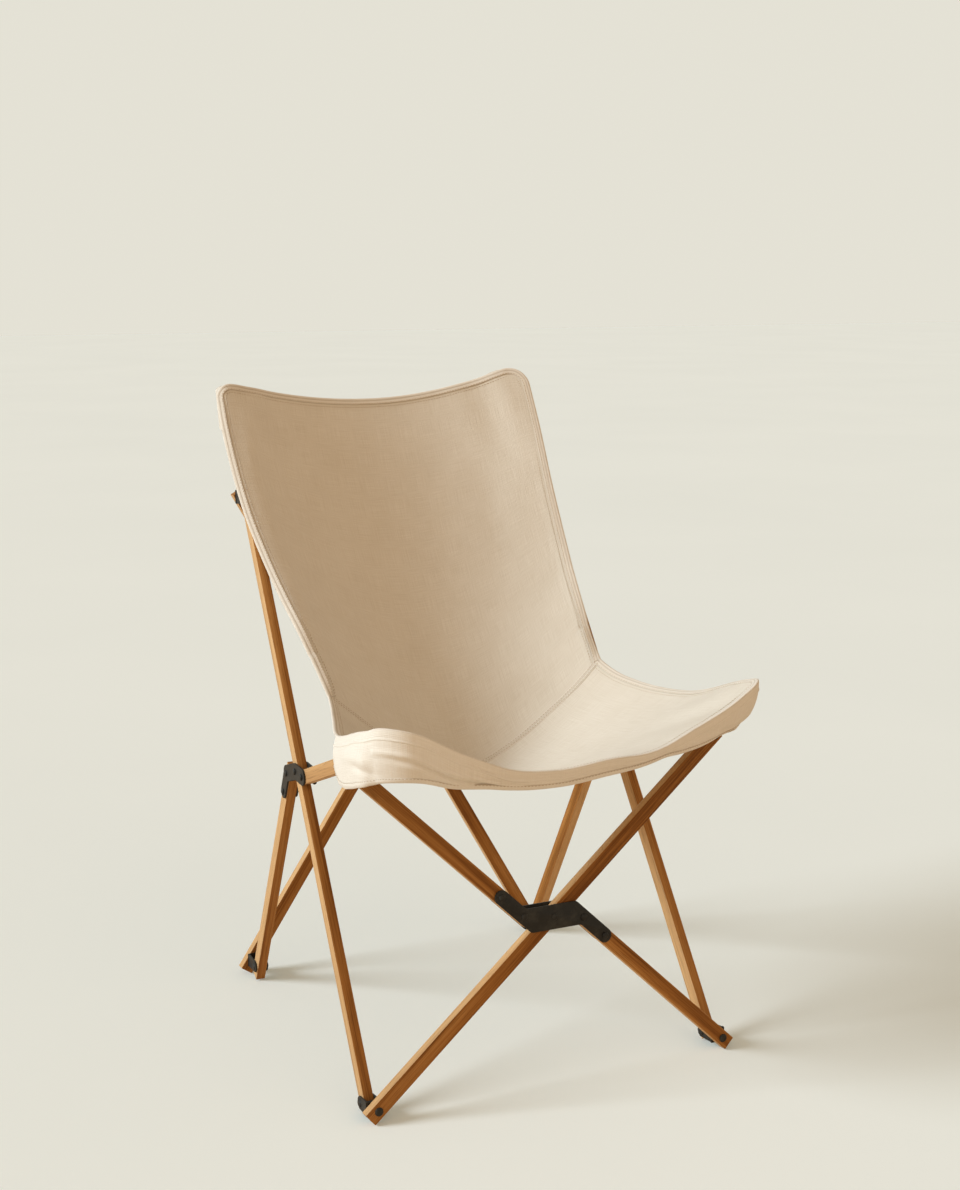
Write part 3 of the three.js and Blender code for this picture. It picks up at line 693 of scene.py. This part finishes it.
# back, up, how sharply it turns up, where it lies flat
MIDDLE = np.array([
    (0.3716, 0.8810, 2.00, 0.88), (0.3206, 0.7860, 2.00, 0.88), (0.2546, 0.6720, 1.90, 0.88),
    (0.1806, 0.5620, 1.80, 0.90), (0.0946, 0.4560, 1.60, 0.95), (0.0036, 0.3660, 1.45, 1.00),
    (-0.0874, 0.3720, 1.45, 1.00), (-0.1974, 0.3990, 1.50, 1.00), (-0.3154, 0.4400, 1.60, 1.00),
    (-0.3814, 0.4610, 1.68, 1.00),
])
LAST = len(MIDDLE) - 1
SEAM = 5
print("stations:", len(MIDDLE))

# %% Curves through the stations
NOTCH = 0.55
NOTCH_REACH = 0.7


def through(table, down):
    padded = np.vstack([2 * table[0] - table[1], table, 2 * table[-1] - table[-2]])
    step = np.clip(np.floor(down).astype(int), 0, LAST - 1)
    t = (down - step)[..., None]
    a, b, c, d = (padded[step + i] for i in range(4))
    rise = 0.5 * (c - a)
    fall = 0.5 * (d - b)
    cubic = 2 * b - 2 * c + rise + fall
    square = 3 * c - 3 * b - 2 * rise - fall
    return cubic * t**3 + square * t**2 + rise * t + b


def edge_at(table, down):
    """The side edge, drawn straighter next to the seam, where the two panels meet at an angle."""
    curve = through(table, down)
    straight = np.stack([np.interp(down, np.arange(LAST + 1), c) for c in table.T], -1)
    notch = NOTCH * np.exp(-(((down - SEAM) / NOTCH_REACH) ** 2))
    return curve + notch[..., None] * (straight - curve)


# %% [markdown]
# The four corners are round, so near a corner the cloth ends earlier. At the back the left edge
# also rolls over its stick, and the right edge stands up a little from its own. The front edge
# hangs in a shallow wave, which a few smooth bumps give.

# %% Round corners
# corner radii, left and right
TOP_ROUND = (0.021, 0.036)
FRONT_ROUND = (0.034, 0.020)


def corner_start(side, end):
    """How far across one end stays straight: end 0 is the top, end -1 the front."""
    edge = (LEFT_EDGE, RIGHT_EDGE)[side]
    radius = (TOP_ROUND if end == 0 else FRONT_ROUND)[side]
    return 1 - radius / edge[end, 0]


def corner_drop(across, side, end):
    edge = (LEFT_EDGE, RIGHT_EDGE)[side]
    radius = (TOP_ROUND if end == 0 else FRONT_ROUND)[side]
    start = corner_start(side, end)
    turn = np.clip((np.abs(across) - start) / (1 - start), 0, 1)
    step = np.linalg.norm(edge[end] - edge[1 if end == 0 else -2])
    return radius / step * (1 - np.sqrt(1 - turn**2))


# %% The hanging form
# the right side of the back meets its stick this much farther out than the left side
RIGHT_FULLER = 0.05
FULLEST = 0.965
# past this share the cloth reaches its edge without lying flat
NEVER_FLAT = 0.97
FLAT_SOFTNESS = 0.05
# place across, reach, height
RIM_WAVES = (
    (-0.84, 0.15, 0.0050), (-0.43, 0.15, -0.0050), (0.05, 0.20, 0.0125), (0.53, 0.12, 0.0030),
)
RIM_RUN = 1.6


def by_side(across, left, right):
    return np.where(across < 0, left, right)


def ease(value):
    value = np.clip(value, 0, 1)
    return value * value * (3 - 2 * value)


def hanging(across, down):
    drop = by_side(across, corner_drop(across, 0, 0), corner_drop(across, 1, 0))
    down = np.where(down < 1, drop + (1 - drop) * down, down)
    rise = by_side(across, corner_drop(across, 0, -1), corner_drop(across, 1, -1))
    rest = LAST - down
    down = np.where(rest < 1, LAST - rise - (1 - rise) * rest, down)
    side = (across < 0)[..., None]
    edge = np.where(side, edge_at(LEFT_EDGE, down), edge_at(RIGHT_EDGE, down))
    mid_y, mid_z, turn, flat = np.moveaxis(through(MIDDLE, down), -1, 0)
    fuller = np.minimum(flat + RIGHT_FULLER, np.maximum(flat, FULLEST))
    raw = (np.abs(across) / by_side(across, flat, fuller)) ** turn
    soft = 1 - FLAT_SOFTNESS * np.logaddexp(0, (1 - raw) / FLAT_SOFTNESS)
    share = np.where(flat < NEVER_FLAT, soft, np.minimum(raw, 1))
    y = mid_y + (edge[..., 1] - mid_y) * share
    z = mid_z + (edge[..., 2] - mid_z) * share
    wave = sum(high * np.exp(-(((across - at) / reach) ** 2)) for at, reach, high in RIM_WAVES)
    wave = wave * ease((down - LAST + RIM_RUN) / RIM_RUN)
    return np.stack([edge[..., 0] * across, y, z + wave], -1)


# %% The lift over the sticks
# left, right: where the edge starts to turn, and how far back it turns
ROLL_START = (0.955, 0.90)
EDGE_ROLL = (0.0050, -0.0060)
ROLL_POWER = 1.5
CLEAR_OF_STICK = 0.0012
# the back's lift over the sticks ends this far before the seam, and fades over this run
LIFT_ENDS = 0.3
LIFT_FADES = 1.2
LIFT_ACROSS = 0.95
SLOPE_STEP = 0.004


def slope_normal(surface, across, down):
    right = surface(np.minimum(across + SLOPE_STEP, 1), down)
    left = surface(np.maximum(across - SLOPE_STEP, -1), down)
    front = surface(across, np.minimum(down + SLOPE_STEP, LAST))
    behind = surface(across, np.maximum(down - SLOPE_STEP, 0))
    return unit(np.cross(front - behind, right - left))


def sling_point(across, down):
    across, down = np.broadcast_arrays(np.asarray(across, float), np.asarray(down, float))
    on_back = ease((SEAM - LIFT_ENDS - down) / LIFT_FADES)
    start = by_side(across, *ROLL_START)
    turned = np.clip((np.abs(across) - start) / (1 - start), 0, 1) ** ROLL_POWER
    lift = on_back * (CLEAR_OF_STICK - by_side(across, *EDGE_ROLL) * turned)
    normal = slope_normal(hanging, np.clip(across, -LIFT_ACROSS, LIFT_ACROSS), down)
    return hanging(across, down) + normal * lift[..., None]


def sling_normal(across, down):
    return slope_normal(sling_point, np.asarray(across, float), np.asarray(down, float))


print("sling from z", MIDDLE[:, 1].min(), "to", RIGHT_EDGE[:, 2].max())

# %% [markdown]
# ## The two panels
# The back and the seat are cut apart and sewn together in the hollow. Each panel starts as a grid,
# whose points are laid on the form. Soft creases follow the pull of the corners: each one is a
# short wave that fades out around its middle. A thin wall makes it cloth.

# %% Creases
# middle across, middle down, spread across, spread down, waves, height, lean
CREASES = (
    (-0.84, 0.55, 0.16, 0.9, 4.6, 0.0015, 0.55), (0.80, 0.50, 0.20, 1.0, 4.6, 0.0018, -0.45),
    (0.72, 1.70, 0.22, 1.2, 3.6, 0.0013, 0.25), (-0.70, 4.30, 0.30, 0.9, 4.6, 0.0022, 0.95),
    (0.80, 4.70, 0.22, 0.8, 4.6, 0.0016, -0.95), (-0.76, 8.00, 0.26, 0.9, 5.4, 0.0028, 0.50),
    (0.78, 7.90, 0.24, 1.0, 4.6, 0.0020, -0.50), (0.10, 2.60, 0.90, 2.2, 2.4, 0.0012, 1.20),
    (0.30, 7.00, 0.50, 1.0, 3.0, 0.0011, 0.80),
)


def creases(across, down):
    found = np.zeros_like(across)
    for at_a, at_d, wide, long, waves, high, lean in CREASES:
        a, d = (across - at_a) / wide, (down - at_d) / long
        phase = waves * (a * math.cos(lean) + d * math.sin(lean))
        found += high * np.exp(-(a * a + d * d)) * np.sin(phase)
    return found


# %% Back and seat panels
CLOTH = 0.0018
FLAT_HALF = 0.30
CURVE_STEPS = 181
BACK_GRID = (150, 150)
SEAT_GRID = (150, 130)
# how far each panel runs past the seam
BACK_LAP = 0.01
SEAT_LAP = 0.04


def run_along(places):
    return np.concatenate([[0], np.cumsum(np.linalg.norm(np.diff(places, axis=0), axis=1))])


def new_grid(name, columns, rows):
    bpy.ops.object.select_all(action="DESELECT")
    bpy.ops.mesh.primitive_grid_add(x_subdivisions=columns, y_subdivisions=rows, size=2)
    return named(name)


def lay_panel(name, start, end, columns, rows):
    piece = new_grid(name, columns, rows)
    places = points_of(piece.data)
    across, down = places[:, 0], start + (end - start) * (1 - places[:, 1]) / 2
    lift = sling_normal(across, down) * creases(across, down)[:, None]
    lifted = sling_point(across, down) + lift
    steps = np.linspace(0, LAST, CURVE_STEPS)
    length = np.interp(down, steps, run_along(sling_point(0.0, steps)))
    keep_attribute(piece.data, "flat", np.stack([across * FLAT_HALF, length, 0 * across], -1))
    move_points(piece.data, lifted)
    piece.data.flip_normals()
    apply_modifier(piece, "SOLIDIFY", thickness=CLOTH, offset=0.0, use_even_offset=True)
    smooth(piece, 60)
    piece.data.materials.append(cotton)
    return piece


back_panel = lay_panel("sling_back.cloth", 0.0, SEAM + BACK_LAP, *BACK_GRID)
seat_panel = lay_panel("sling_seat.cloth", SEAM - SEAT_LAP, LAST, *SEAT_GRID)
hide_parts("sling_back")
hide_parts("sling_seat")
print("panel points:", len(back_panel.data.vertices), len(seat_panel.data.vertices))

# %% [markdown]
# ## The bound edge
# A tape is folded around the whole edge of the sling and sewn down, so the edge is round, thicker
# than the cloth, and has a small step where the tape ends. Its section is a flat loop, and the
# loop is carried along the edge like a profile along a path. Each point of a profile has a place
# across, a height and a share of painted shadow, a darker line painted at the step and in the
# grooves where shade falls. The seam in the hollow is made with a lower profile in the same way.

# %% Profiles of the tape and the seam
TAPE_WIDE = 0.0092
TAPE_HIGH = 0.0020
TAPE_ROLL = 0.0022
# way in, height, share of painted shadow: painted at the tape's step and in the groove near its
# outer edge
TAPE_TOP = [
    (TAPE_WIDE, 0.25 * TAPE_HIGH, 1.0), (TAPE_WIDE - 0.0002, 0.80 * TAPE_HIGH, 0.8),
    (TAPE_WIDE - 0.0009, 1.00 * TAPE_HIGH, 0.15), (TAPE_WIDE - 0.0018, 0.98 * TAPE_HIGH, 0.0),
    (0.46 * TAPE_WIDE, 1.02 * TAPE_HIGH, 0.0), (0.34 * TAPE_WIDE, 0.92 * TAPE_HIGH, 0.55),
    (0.26 * TAPE_WIDE, 0.92 * TAPE_HIGH, 0.55), (0.15 * TAPE_WIDE, 1.05 * TAPE_HIGH, 0.0),
    (-0.3 * TAPE_ROLL, 0.86 * TAPE_HIGH, 0.0), (-0.8 * TAPE_ROLL, 0.46 * TAPE_HIGH, 0.0),
]
TAPE_PROFILE = TAPE_TOP + [(-TAPE_ROLL, 0.0, 0.0)]
TAPE_PROFILE += [(w, -h, s) for w, h, s in TAPE_TOP[::-1]]
# way in, height, share of painted shadow at the seam's sides and in its middle groove
SEAM_PROFILE = [
    (0.0052, 0.0003, 0.35), (0.0046, 0.0012, 0.1), (0.0032, 0.0016, 0.0), (0.0007, 0.0017, 0.0),
    (0.0, 0.0012, 0.55), (-0.0007, 0.0017, 0.0), (-0.0032, 0.0016, 0.0), (-0.0046, 0.0012, 0.1),
    (-0.0052, 0.0003, 0.35), (-0.0030, -0.0016, 0.0), (0.0030, -0.0016, 0.0),
]
print("profile points:", len(TAPE_PROFILE), len(SEAM_PROFILE))

# %% Lines over the cloth
LEAST_STEP = 2e-4
NORMAL_REACH = 3


def softened(values, reach):
    window = np.hanning(2 * reach + 3)[1:-1]
    return np.convolve(np.pad(values, reach, "edge"), window / window.sum(), "valid")


def eased(vectors, reach):
    return unit(np.stack([softened(c, reach) for c in vectors.T], -1))


class Path:
    """A line over the sling: places, the cloth's normals, and the way into the cloth."""

    def __init__(self, across, down):
        across, down = np.asarray(across, float), np.asarray(down, float)
        normals = sling_normal(across, down)
        places = sling_point(across, down) + normals * creases(across, down)[:, None]
        keep = np.diff(run_along(places), prepend=-1) > LEAST_STEP
        self.across, self.down = across[keep], down[keep]
        self.places, self.normals = places[keep], eased(normals[keep], NORMAL_REACH)
        run = unit(np.gradient(self.places, axis=0))
        inward = np.cross(self.normals, run)
        middle = sling_point(0.0, float(np.mean(down)))
        if np.sum((middle - self.places) * inward) < 0:
            inward = -inward
        self.inward = eased(inward, NORMAL_REACH)

    def beside(self, inward, lift):
        return self.places + self.inward * inward + self.normals * lift


# %% Carry a profile along a line
def carry(name, path, profile, finish):
    rings = [path.beside(inward, lift) for inward, lift, _ in profile]
    count, sides = len(path.places), len(profile)
    corners = np.stack(rings, 1).reshape(-1, 3)
    faces = []
    for i in range(count - 1):
        for j in range(sides):
            k = (j + 1) % sides
            here, there = i * sides, (i + 1) * sides
            faces.append((here + j, here + k, there + k, there + j))
    faces.append(tuple(range(sides)))
    faces.append(tuple(range(count * sides - 1, (count - 1) * sides - 1, -1)))
    piece = new_piece(name, corners, faces)
    face_outward(piece)
    along = np.repeat(run_along(path.places), sides)
    wide = np.tile(run_along(np.array(profile)[:, :2]), count)
    shade = np.tile(np.array(profile)[:, 2], count)
    keep_attribute(piece.data, "flat", np.stack([along, wide, shade], -1))
    smooth(piece, 70)
    piece.data.materials.append(finish)
    return piece


# %% Bind the edges
SIDE_STEPS = 120
CORNER_STEPS = 16
END_STEPS = 150
SEAM_STEPS = 160
SEAM_HALF = 0.99
SEAM_TAPE_AT = SEAM - 0.01


def around(end, inner, which):
    """Across and down along one panel's edge: side, round corner, end, round corner, side."""
    bends = []
    for side in (0, 1):
        start = corner_start(side, which)
        bends.append(start + (1 - start) * np.sin(np.linspace(math.pi / 2, 0, CORNER_STEPS)))
    side = np.linspace(inner, end, SIDE_STEPS)
    ones = np.ones(SIDE_STEPS)
    middle = np.linspace(-bends[0][-1], bends[1][-1], END_STEPS)
    across = np.concatenate([-ones, -bends[0], middle, bends[1][::-1], ones])
    down = np.concatenate([side, np.full(2 * CORNER_STEPS + END_STEPS, end), side[::-1]])
    return across, down


back_edge = Path(*around(0.0, SEAM, 0))
seat_edge = Path(*around(float(LAST), SEAM, -1))
seam_across = np.linspace(-SEAM_HALF, SEAM_HALF, SEAM_STEPS)
seam_line = Path(seam_across, np.full(SEAM_STEPS, SEAM_TAPE_AT))
back_tape = carry("back_edge.tape", back_edge, TAPE_PROFILE, edge_tape)
seat_tape = carry("seat_edge.tape", seat_edge, TAPE_PROFILE, edge_tape)
seam_tape = carry("hollow_seam.tape", seam_line, SEAM_PROFILE, edge_tape)
for label, path in (("back", back_edge), ("seat", seat_edge)):
    print(label, "edge m:", round(float(run_along(path.places)[-1]), 3))

# %% [markdown]
# ## The front hem
# Along the front the cloth turns down into a hem that wraps both corners and hides the rail ends.
# It is deep at the corners, where it forms a pocket for the rail, and shallow in the middle. Its
# depth, its lean, its tuck and its curl are given at a few places, counted from -2, the rear end of
# the left side, over -1, the left corner, and 1, the right corner, to 2. Slack cloth makes a few
# diagonal folds.

# %% Hem tables
# place, depth
HEM_DROP = [
    (-2.0, 0.044), (-1.93, 0.055), (-1.86, 0.063), (-1.75, 0.068), (-1.6, 0.070), (-1.4, 0.070),
    (-1.2, 0.070), (-1.0, 0.0725), (-0.9, 0.0657), (-0.8, 0.0577), (-0.7, 0.0493), (-0.6, 0.0393),
    (-0.5, 0.0300), (-0.4, 0.0245), (-0.2, 0.0215), (0.1, 0.0209), (0.2, 0.0180), (0.3, 0.0158),
    (0.4, 0.0158), (0.5, 0.0262), (0.6, 0.0335), (0.7, 0.0390), (0.8, 0.0465), (0.9, 0.0590),
    (1.0, 0.0660), (1.2, 0.0690), (1.6, 0.0690), (1.86, 0.0620), (2.0, 0.0440),
]
# place, how far the lower edge lies back
HEM_BACK = [
    (-2.0, 0.0), (-1.3, 0.004), (-1.0, 0.016), (-0.6, 0.009), (0.0, 0.004), (0.5, 0.010),
    (0.8, 0.022), (0.95, 0.025), (1.0, 0.021), (1.2, 0.010), (1.5, 0.002), (2.0, 0.0),
]
# place, how far the lower edge lies towards the middle
HEM_TUCK = [
    (-2.0, 0.0), (-1.4, 0.0), (-1.0, 0.011), (-0.7, 0.0), (0.7, 0.0), (0.85, 0.010),
    (1.0, 0.008), (1.15, 0.007), (1.4, 0.006), (1.8, 0.005), (2.0, 0.003),
]
# place, how far the lowest part curls under
HEM_CURL = [
    (-2.0, 0.0), (0.70, 0.0), (0.88, 0.007), (1.0, 0.013), (1.2, 0.011), (1.5, 0.006), (1.8, 0.002),
]
print("hem tables:", len(HEM_DROP), len(HEM_BACK), len(HEM_TUCK), len(HEM_CURL))

# %% The hem along its rim
HEM_STARTS = LAST - 2.0
# over how many neighbours on each side the values are evened out
DROP_REACH = 5
LEAN_REACH = 8
OUT_REACH = 18


def looked_up(table, place, reach):
    keys, values = np.array(table).T
    return softened(np.interp(place, keys, values), reach)


rim = Path(*around(float(LAST), HEM_STARTS, -1))
hem_along = run_along(rim.places)
hem_place = rim.across + np.sign(rim.across) * (LAST - rim.down) / 2
hem_drop = looked_up(HEM_DROP, hem_place, DROP_REACH)
hem_back = looked_up(HEM_BACK, hem_place, LEAN_REACH)
hem_tuck = looked_up(HEM_TUCK, hem_place, LEAN_REACH)
hem_curl = looked_up(HEM_CURL, hem_place, LEAN_REACH)
level = np.gradient(rim.places, axis=0)
hem_out = eased(np.stack([level[:, 1], -level[:, 0], 0 * level[:, 0]], -1), OUT_REACH)
print("rim m:", round(float(hem_along[-1]), 3))

# %% Folds of the hem
# start place, start share of depth, end place, end share, width in share, height
HEM_FOLDS = (
    (-1.03, 0.38, -0.34, 0.76, 0.060, 0.0032), (-0.99, 0.50, -0.42, 0.88, 0.065, -0.0026),
    (-0.93, 0.64, -0.50, 0.96, 0.055, 0.0024), (-0.66, 0.34, -0.14, 0.66, 0.090, 0.0015),
    (-1.80, 0.34, -1.05, 0.62, 0.130, 0.0022), (-1.60, 0.58, -0.98, 0.84, 0.080, -0.0022),
    (0.62, 0.40, 0.92, 0.92, 0.130, -0.0026), (0.46, 0.55, 0.90, 0.66, 0.120, 0.0026),
    (1.10, 0.35, 1.70, 0.55, 0.160, 0.0020),
)
FOLDS_FADE = 0.2
# shares of a fold's length in which it comes up and goes down, and its share of height at its ends
RISE_RUN, RISE_START = 0.25, 0.25
FALL_RUN, FALL_END = 0.3, 0.2


def hem_folds(place, t):
    found = np.zeros_like(t)
    for from_p, from_t, to_p, to_t, wide, high in HEM_FOLDS:
        share = (place - from_p) / (to_p - from_p)
        line = from_t + (to_t - from_t) * share
        fade = ease(share / RISE_RUN + RISE_START) * ease((1 - share) / FALL_RUN + FALL_END)
        found += high * fade * np.exp(-(((t - line) / wide) ** 2))
    return found * ease((1 - t) / FOLDS_FADE)


# %% Form of the hem
CURL_FROM = 0.70
CURL_RUN = 0.45
TUCK_POWER = 1.4
BACK_POWER = 1.2
# how far the hem stands off its rim: everywhere, more beside a rail, and at half its depth
HEM_OFF = 0.0012
HEM_OFF_RAIL = 0.0016
HEM_BELLY = 0.0040
FULL_BELLY_DROP = 0.06
# the run past a front corner in which the hem comes to lie beside its rail
RAIL_RUN = 0.3


def hem_point(column, t):
    beside_rail = ease((np.abs(hem_place[column]) - 1.0) / RAIL_RUN)
    swell = HEM_OFF + HEM_OFF_RAIL * beside_rail * t
    swell = swell + HEM_BELLY * np.sin(t * math.pi) * ease(hem_drop[column] / FULL_BELLY_DROP)
    swell = swell + hem_folds(hem_place[column], t)
    swell = swell - hem_curl[column] * ease((t - CURL_FROM) / CURL_RUN)
    place = rim.places[column] + hem_out[column] * swell[..., None]
    tuck = -np.sign(hem_place[column]) * hem_tuck[column] * t**TUCK_POWER
    back = t**BACK_POWER * hem_back[column]
    return place + np.stack([tuck, back, -t * hem_drop[column]], -1)


# %% Lay the hem
HEM_ROWS = 44


def lay_hem():
    columns = len(hem_place)
    piece = new_grid("front_hem.cloth", columns - 1, HEM_ROWS - 1)
    places = points_of(piece.data)
    column = np.rint((places[:, 0] + 1) / 2 * (columns - 1)).astype(int)
    t = (1 - places[:, 1]) / 2
    flat = np.stack([hem_along[column], t * hem_drop[column], 0 * t], -1)
    keep_attribute(piece.data, "flat", flat)
    move_points(piece.data, hem_point(column, t))
    apply_modifier(piece, "SOLIDIFY", thickness=CLOTH, offset=0.0, use_even_offset=True)
    smooth(piece, 60)
    # the hem's canvas is painted paler than the sling's, as painted light on its shaded front
    piece.data.materials.append(hem_canvas_painted_lighter)
    return piece


hem = lay_hem()
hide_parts("front_hem")
print("hem columns:", len(hem_place), "deepest mm:", round(1000 * hem_drop.max(), 1))

# %% Sew the hem
# the welt lies this far below the rim, but no deeper than this share of the hem
WELT_BELOW = 0.0115
WELT_LIMIT = 0.45
SHARE_STEP = 0.02
# way in, height, share of painted shadow along the hem's fold line and beside the welt
HEM_FOLD_PROFILE = [
    (0.0078, 0.0004, 1.0), (0.0076, 0.0013, 0.6), (0.0068, 0.0017, 0.0), (0.0040, 0.0018, 0.0),
    (0.0, 0.0014, 0.0), (-0.0013, 0.0, 0.0), (0.0, -0.0014, 0.0), (0.0076, -0.0013, 0.0),
]
WELT_PROFILE = [
    (0.0024, 0.0003, 0.35), (0.0015, 0.0014, 0.0), (0.0, 0.0019, 0.0), (-0.0015, 0.0014, 0.0),
    (-0.0024, 0.0003, 0.45), (0.0, -0.0010, 0.0),
]


class HemLine:
    """A line along the hem at given shares of its depth, with its outward normals."""

    def __init__(self, shares):
        columns = np.arange(len(hem_place))
        self.places = hem_point(columns, shares)
        above = hem_point(columns, shares - SHARE_STEP)
        below = hem_point(columns, shares + SHARE_STEP)
        self.inward = unit(above - below)
        self.normals = unit(np.cross(np.gradient(self.places, axis=0), self.inward))
        if np.sum(self.normals * hem_out) < 0:
            self.normals = -self.normals

    beside = Path.beside


hem_low = HemLine(np.full(len(hem_place), 1.0))
hem_band = HemLine(np.minimum(WELT_BELOW / hem_drop, WELT_LIMIT))
hem_fold = carry("front_hem.fold", hem_low, HEM_FOLD_PROFILE, hem_canvas_painted_lighter)
hem_welt = carry("front_hem.welt", hem_band, WELT_PROFILE, hem_canvas_painted_lighter)
print("hem fold and welt:", hem_fold.name, hem_welt.name)

# %% [markdown]
# ## The back pockets
# Behind the two top corners a patch is sewn on three sides, and the stick ends push up into it. It
# goes back over the stick's tip first, then hangs down behind the stick.

# %% Pockets
POCKET_SPAN = (0.72, 1.0)
# shares of the span in which the inner and the outer side reach their full depth
POCKET_SIDES = (0.45, 0.12)
POCKET_DEEP = 0.030
POCKET_DROP = 0.062
POCKET_OFF = 0.0026
POCKET_SEAM = 0.0015
POCKET_TOP = 0.34
POCKET_SAG = 0.004
POCKET_PLUMB = 0.45
POCKET_FLAT = (0.08, 0.09)
POCKET_GRID = (70, 40)
# the pocket hangs along the sling as it runs from its top down to here
POCKET_SLOPE = 0.8


def lay_pocket(label, side):
    piece = new_grid(f"{label}_back_pocket.cloth", *POCKET_GRID)
    places = points_of(piece.data)
    u, v = (places[:, 0] + 1) / 2, (1 - places[:, 1]) / 2
    across = side * (POCKET_SPAN[0] + (POCKET_SPAN[1] - POCKET_SPAN[0]) * u)
    swell = ease(np.minimum(u / POCKET_SIDES[0], (1 - u) / POCKET_SIDES[1]))
    top = sling_point(across, np.zeros_like(across))
    normal = sling_normal(across, np.zeros_like(across))
    behind = top - normal * POCKET_OFF
    bend = np.clip(v / POCKET_TOP, 0, 1) * math.pi / 2
    out = np.sin(bend) * (POCKET_SEAM + POCKET_DEEP * swell)
    fall = np.clip((v - POCKET_TOP) / (1 - POCKET_TOP), 0, 1) * POCKET_DROP
    fall = fall + (1 - np.cos(bend)) * POCKET_SAG
    slope = unit(sling_point(across, np.full_like(across, POCKET_SLOPE)) - top)
    plumb = POCKET_PLUMB * swell[:, None]
    hang = slope * (1 - plumb) + np.array([0, 0, -1.0]) * plumb
    flat = np.stack([u * POCKET_FLAT[0], v * POCKET_FLAT[1], 0 * u], -1)
    keep_attribute(piece.data, "flat", flat)
    back = np.array([0, 1.0, 0]) * out[:, None]
    move_points(piece.data, behind + back + hang * fall[:, None])
    apply_modifier(piece, "SOLIDIFY", thickness=CLOTH, offset=0.0, use_even_offset=True)
    face_outward(piece)
    smooth(piece, 60)
    piece.data.materials.append(cotton)
    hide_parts(f"{label}_back_pocket")
    return piece


pockets = [lay_pocket("left", -1), lay_pocket("right", 1)]
print("pockets:", [piece.name for piece in pockets])

# %% [markdown]
# ## Stitching
# Two rows of thread hold the tape and the seam. One stitch is a small flattened bead, and it is
# repeated along each row at the pitch of a sewing machine.

# %% Stitch rows
STITCH_PITCH = 0.0046
STITCH = (0.0034, 0.0009, 0.0007)
STITCH_LOOK = 0.001


def stitch_bead():
    bpy.ops.object.select_all(action="DESELECT")
    bpy.ops.mesh.primitive_uv_sphere_add(segments=6, ring_count=4, radius=0.5)
    bead = named("stitch")
    shape = points_of(bead.data) * np.array(STITCH)
    faces = [tuple(face.vertices) for face in bead.data.polygons]
    bpy.data.objects.remove(bead)
    return shape, faces


BEAD, BEAD_FACES = stitch_bead()


def found_at(places, steps, values):
    return np.stack([np.interp(places, steps, c) for c in values.T], -1)


def sew(name, rows):
    corners, faces = [], []
    for path, normals in rows:
        steps = run_along(path)
        places = np.arange(STITCH_PITCH / 2, steps[-1], STITCH_PITCH)
        middle = found_at(places, steps, path)
        ahead = found_at(places + STITCH_LOOK, steps, path)
        way = unit(ahead - found_at(places - STITCH_LOOK, steps, path))
        wide = unit(np.cross(found_at(places, steps, normals), way))
        for m, x, y, z in zip(middle, way, wide, np.cross(way, wide)):
            first = len(corners) * len(BEAD)
            corners.append(m + BEAD @ np.array([x, y, z]))
            faces += [tuple(first + i for i in face) for face in BEAD_FACES]
    piece = new_piece(name, np.vstack(corners), faces)
    smooth(piece, 80)
    piece.data.materials.append(thread_finish)
    return piece, len(corners)


# %% Sew the rows
TAPE_ROW = TAPE_WIDE - 0.0018
CLOTH_ROW = TAPE_WIDE + 0.0042
ON_TAPE = 1.02 * TAPE_HIGH
ON_CLOTH = CLOTH / 2 + 0.0001


def rows_along(path, rows):
    return [(path.beside(inward, lift), path.normals) for inward, lift in rows]


# way in from the edge, height over the middle of the cloth
EDGE_ROWS = [
    (TAPE_ROW, ON_TAPE), (CLOTH_ROW, ON_CLOTH), (TAPE_ROW, -ON_TAPE), (CLOTH_ROW, -ON_CLOTH),
]
SEAM_ROWS = [(0.0024, 0.0020), (-0.0024, 0.0020)]
HEM_ROW = [(0.0068, 0.0017)]
back_rows = rows_along(back_edge, EDGE_ROWS) + rows_along(seam_line, SEAM_ROWS)
seat_rows = rows_along(seat_edge, EDGE_ROWS) + rows_along(hem_low, HEM_ROW)
back_thread, back_count = sew("back.stitches", back_rows)
seat_thread, seat_count = sew("seat.stitches", seat_rows)
print("stitches:", back_count, seat_count)

# %% [markdown]
# ## What moves with what
# The back of the sling and its pockets go with the left long stick, the seat and the hem with the
# left rail, and each piece gets its own mesh. When the chair folds, its right side comes over to the
# left one. The place and the share of width for gathering each group are listed, but nothing here
# gathers the cloth.

# %% Ride on the sticks
# place across that stays, share of the width that is kept
BACK_GATHER = (-0.235, 0.258)
SEAT_GATHER = (-0.253, 0.247)
HEM_GATHER = (-0.275, 0.299)
POCKET_GATHERS = ((-0.250, 0.45), (-0.3675, 0.45))


def gather(piece, body, towards, kept):
    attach(piece, body)
    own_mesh(piece)


for piece in (back_panel, back_tape, seam_tape, back_thread):
    gather(piece, "left_long", *BACK_GATHER)
for piece, pocket_gather in zip(pockets, POCKET_GATHERS):
    gather(piece, "left_long", *pocket_gather)
for piece in (seat_panel, seat_tape, seat_thread):
    gather(piece, "left_rail", *SEAT_GATHER)
for piece in (hem, hem_fold, hem_welt):
    gather(piece, "left_rail", *HEM_GATHER)
print("gathered towards x:", BACK_GATHER[0], SEAT_GATHER[0], HEM_GATHER[0])

# %% [markdown]
# ## The cut of the cloth
# The area of each sheet is printed as modelled, on one face of its wall. Each sheet is declared
# with the size that it has when it lies flat, a little more than what shows, because its edges are
# turned in under the tape and the hem.


def cloth_area(piece):
    return sum(face.area for face in piece.data.polygons) / 2


for piece in (back_panel, seat_panel, hem, *pockets):
    print(piece.name, "area", round(cloth_area(piece), 4))
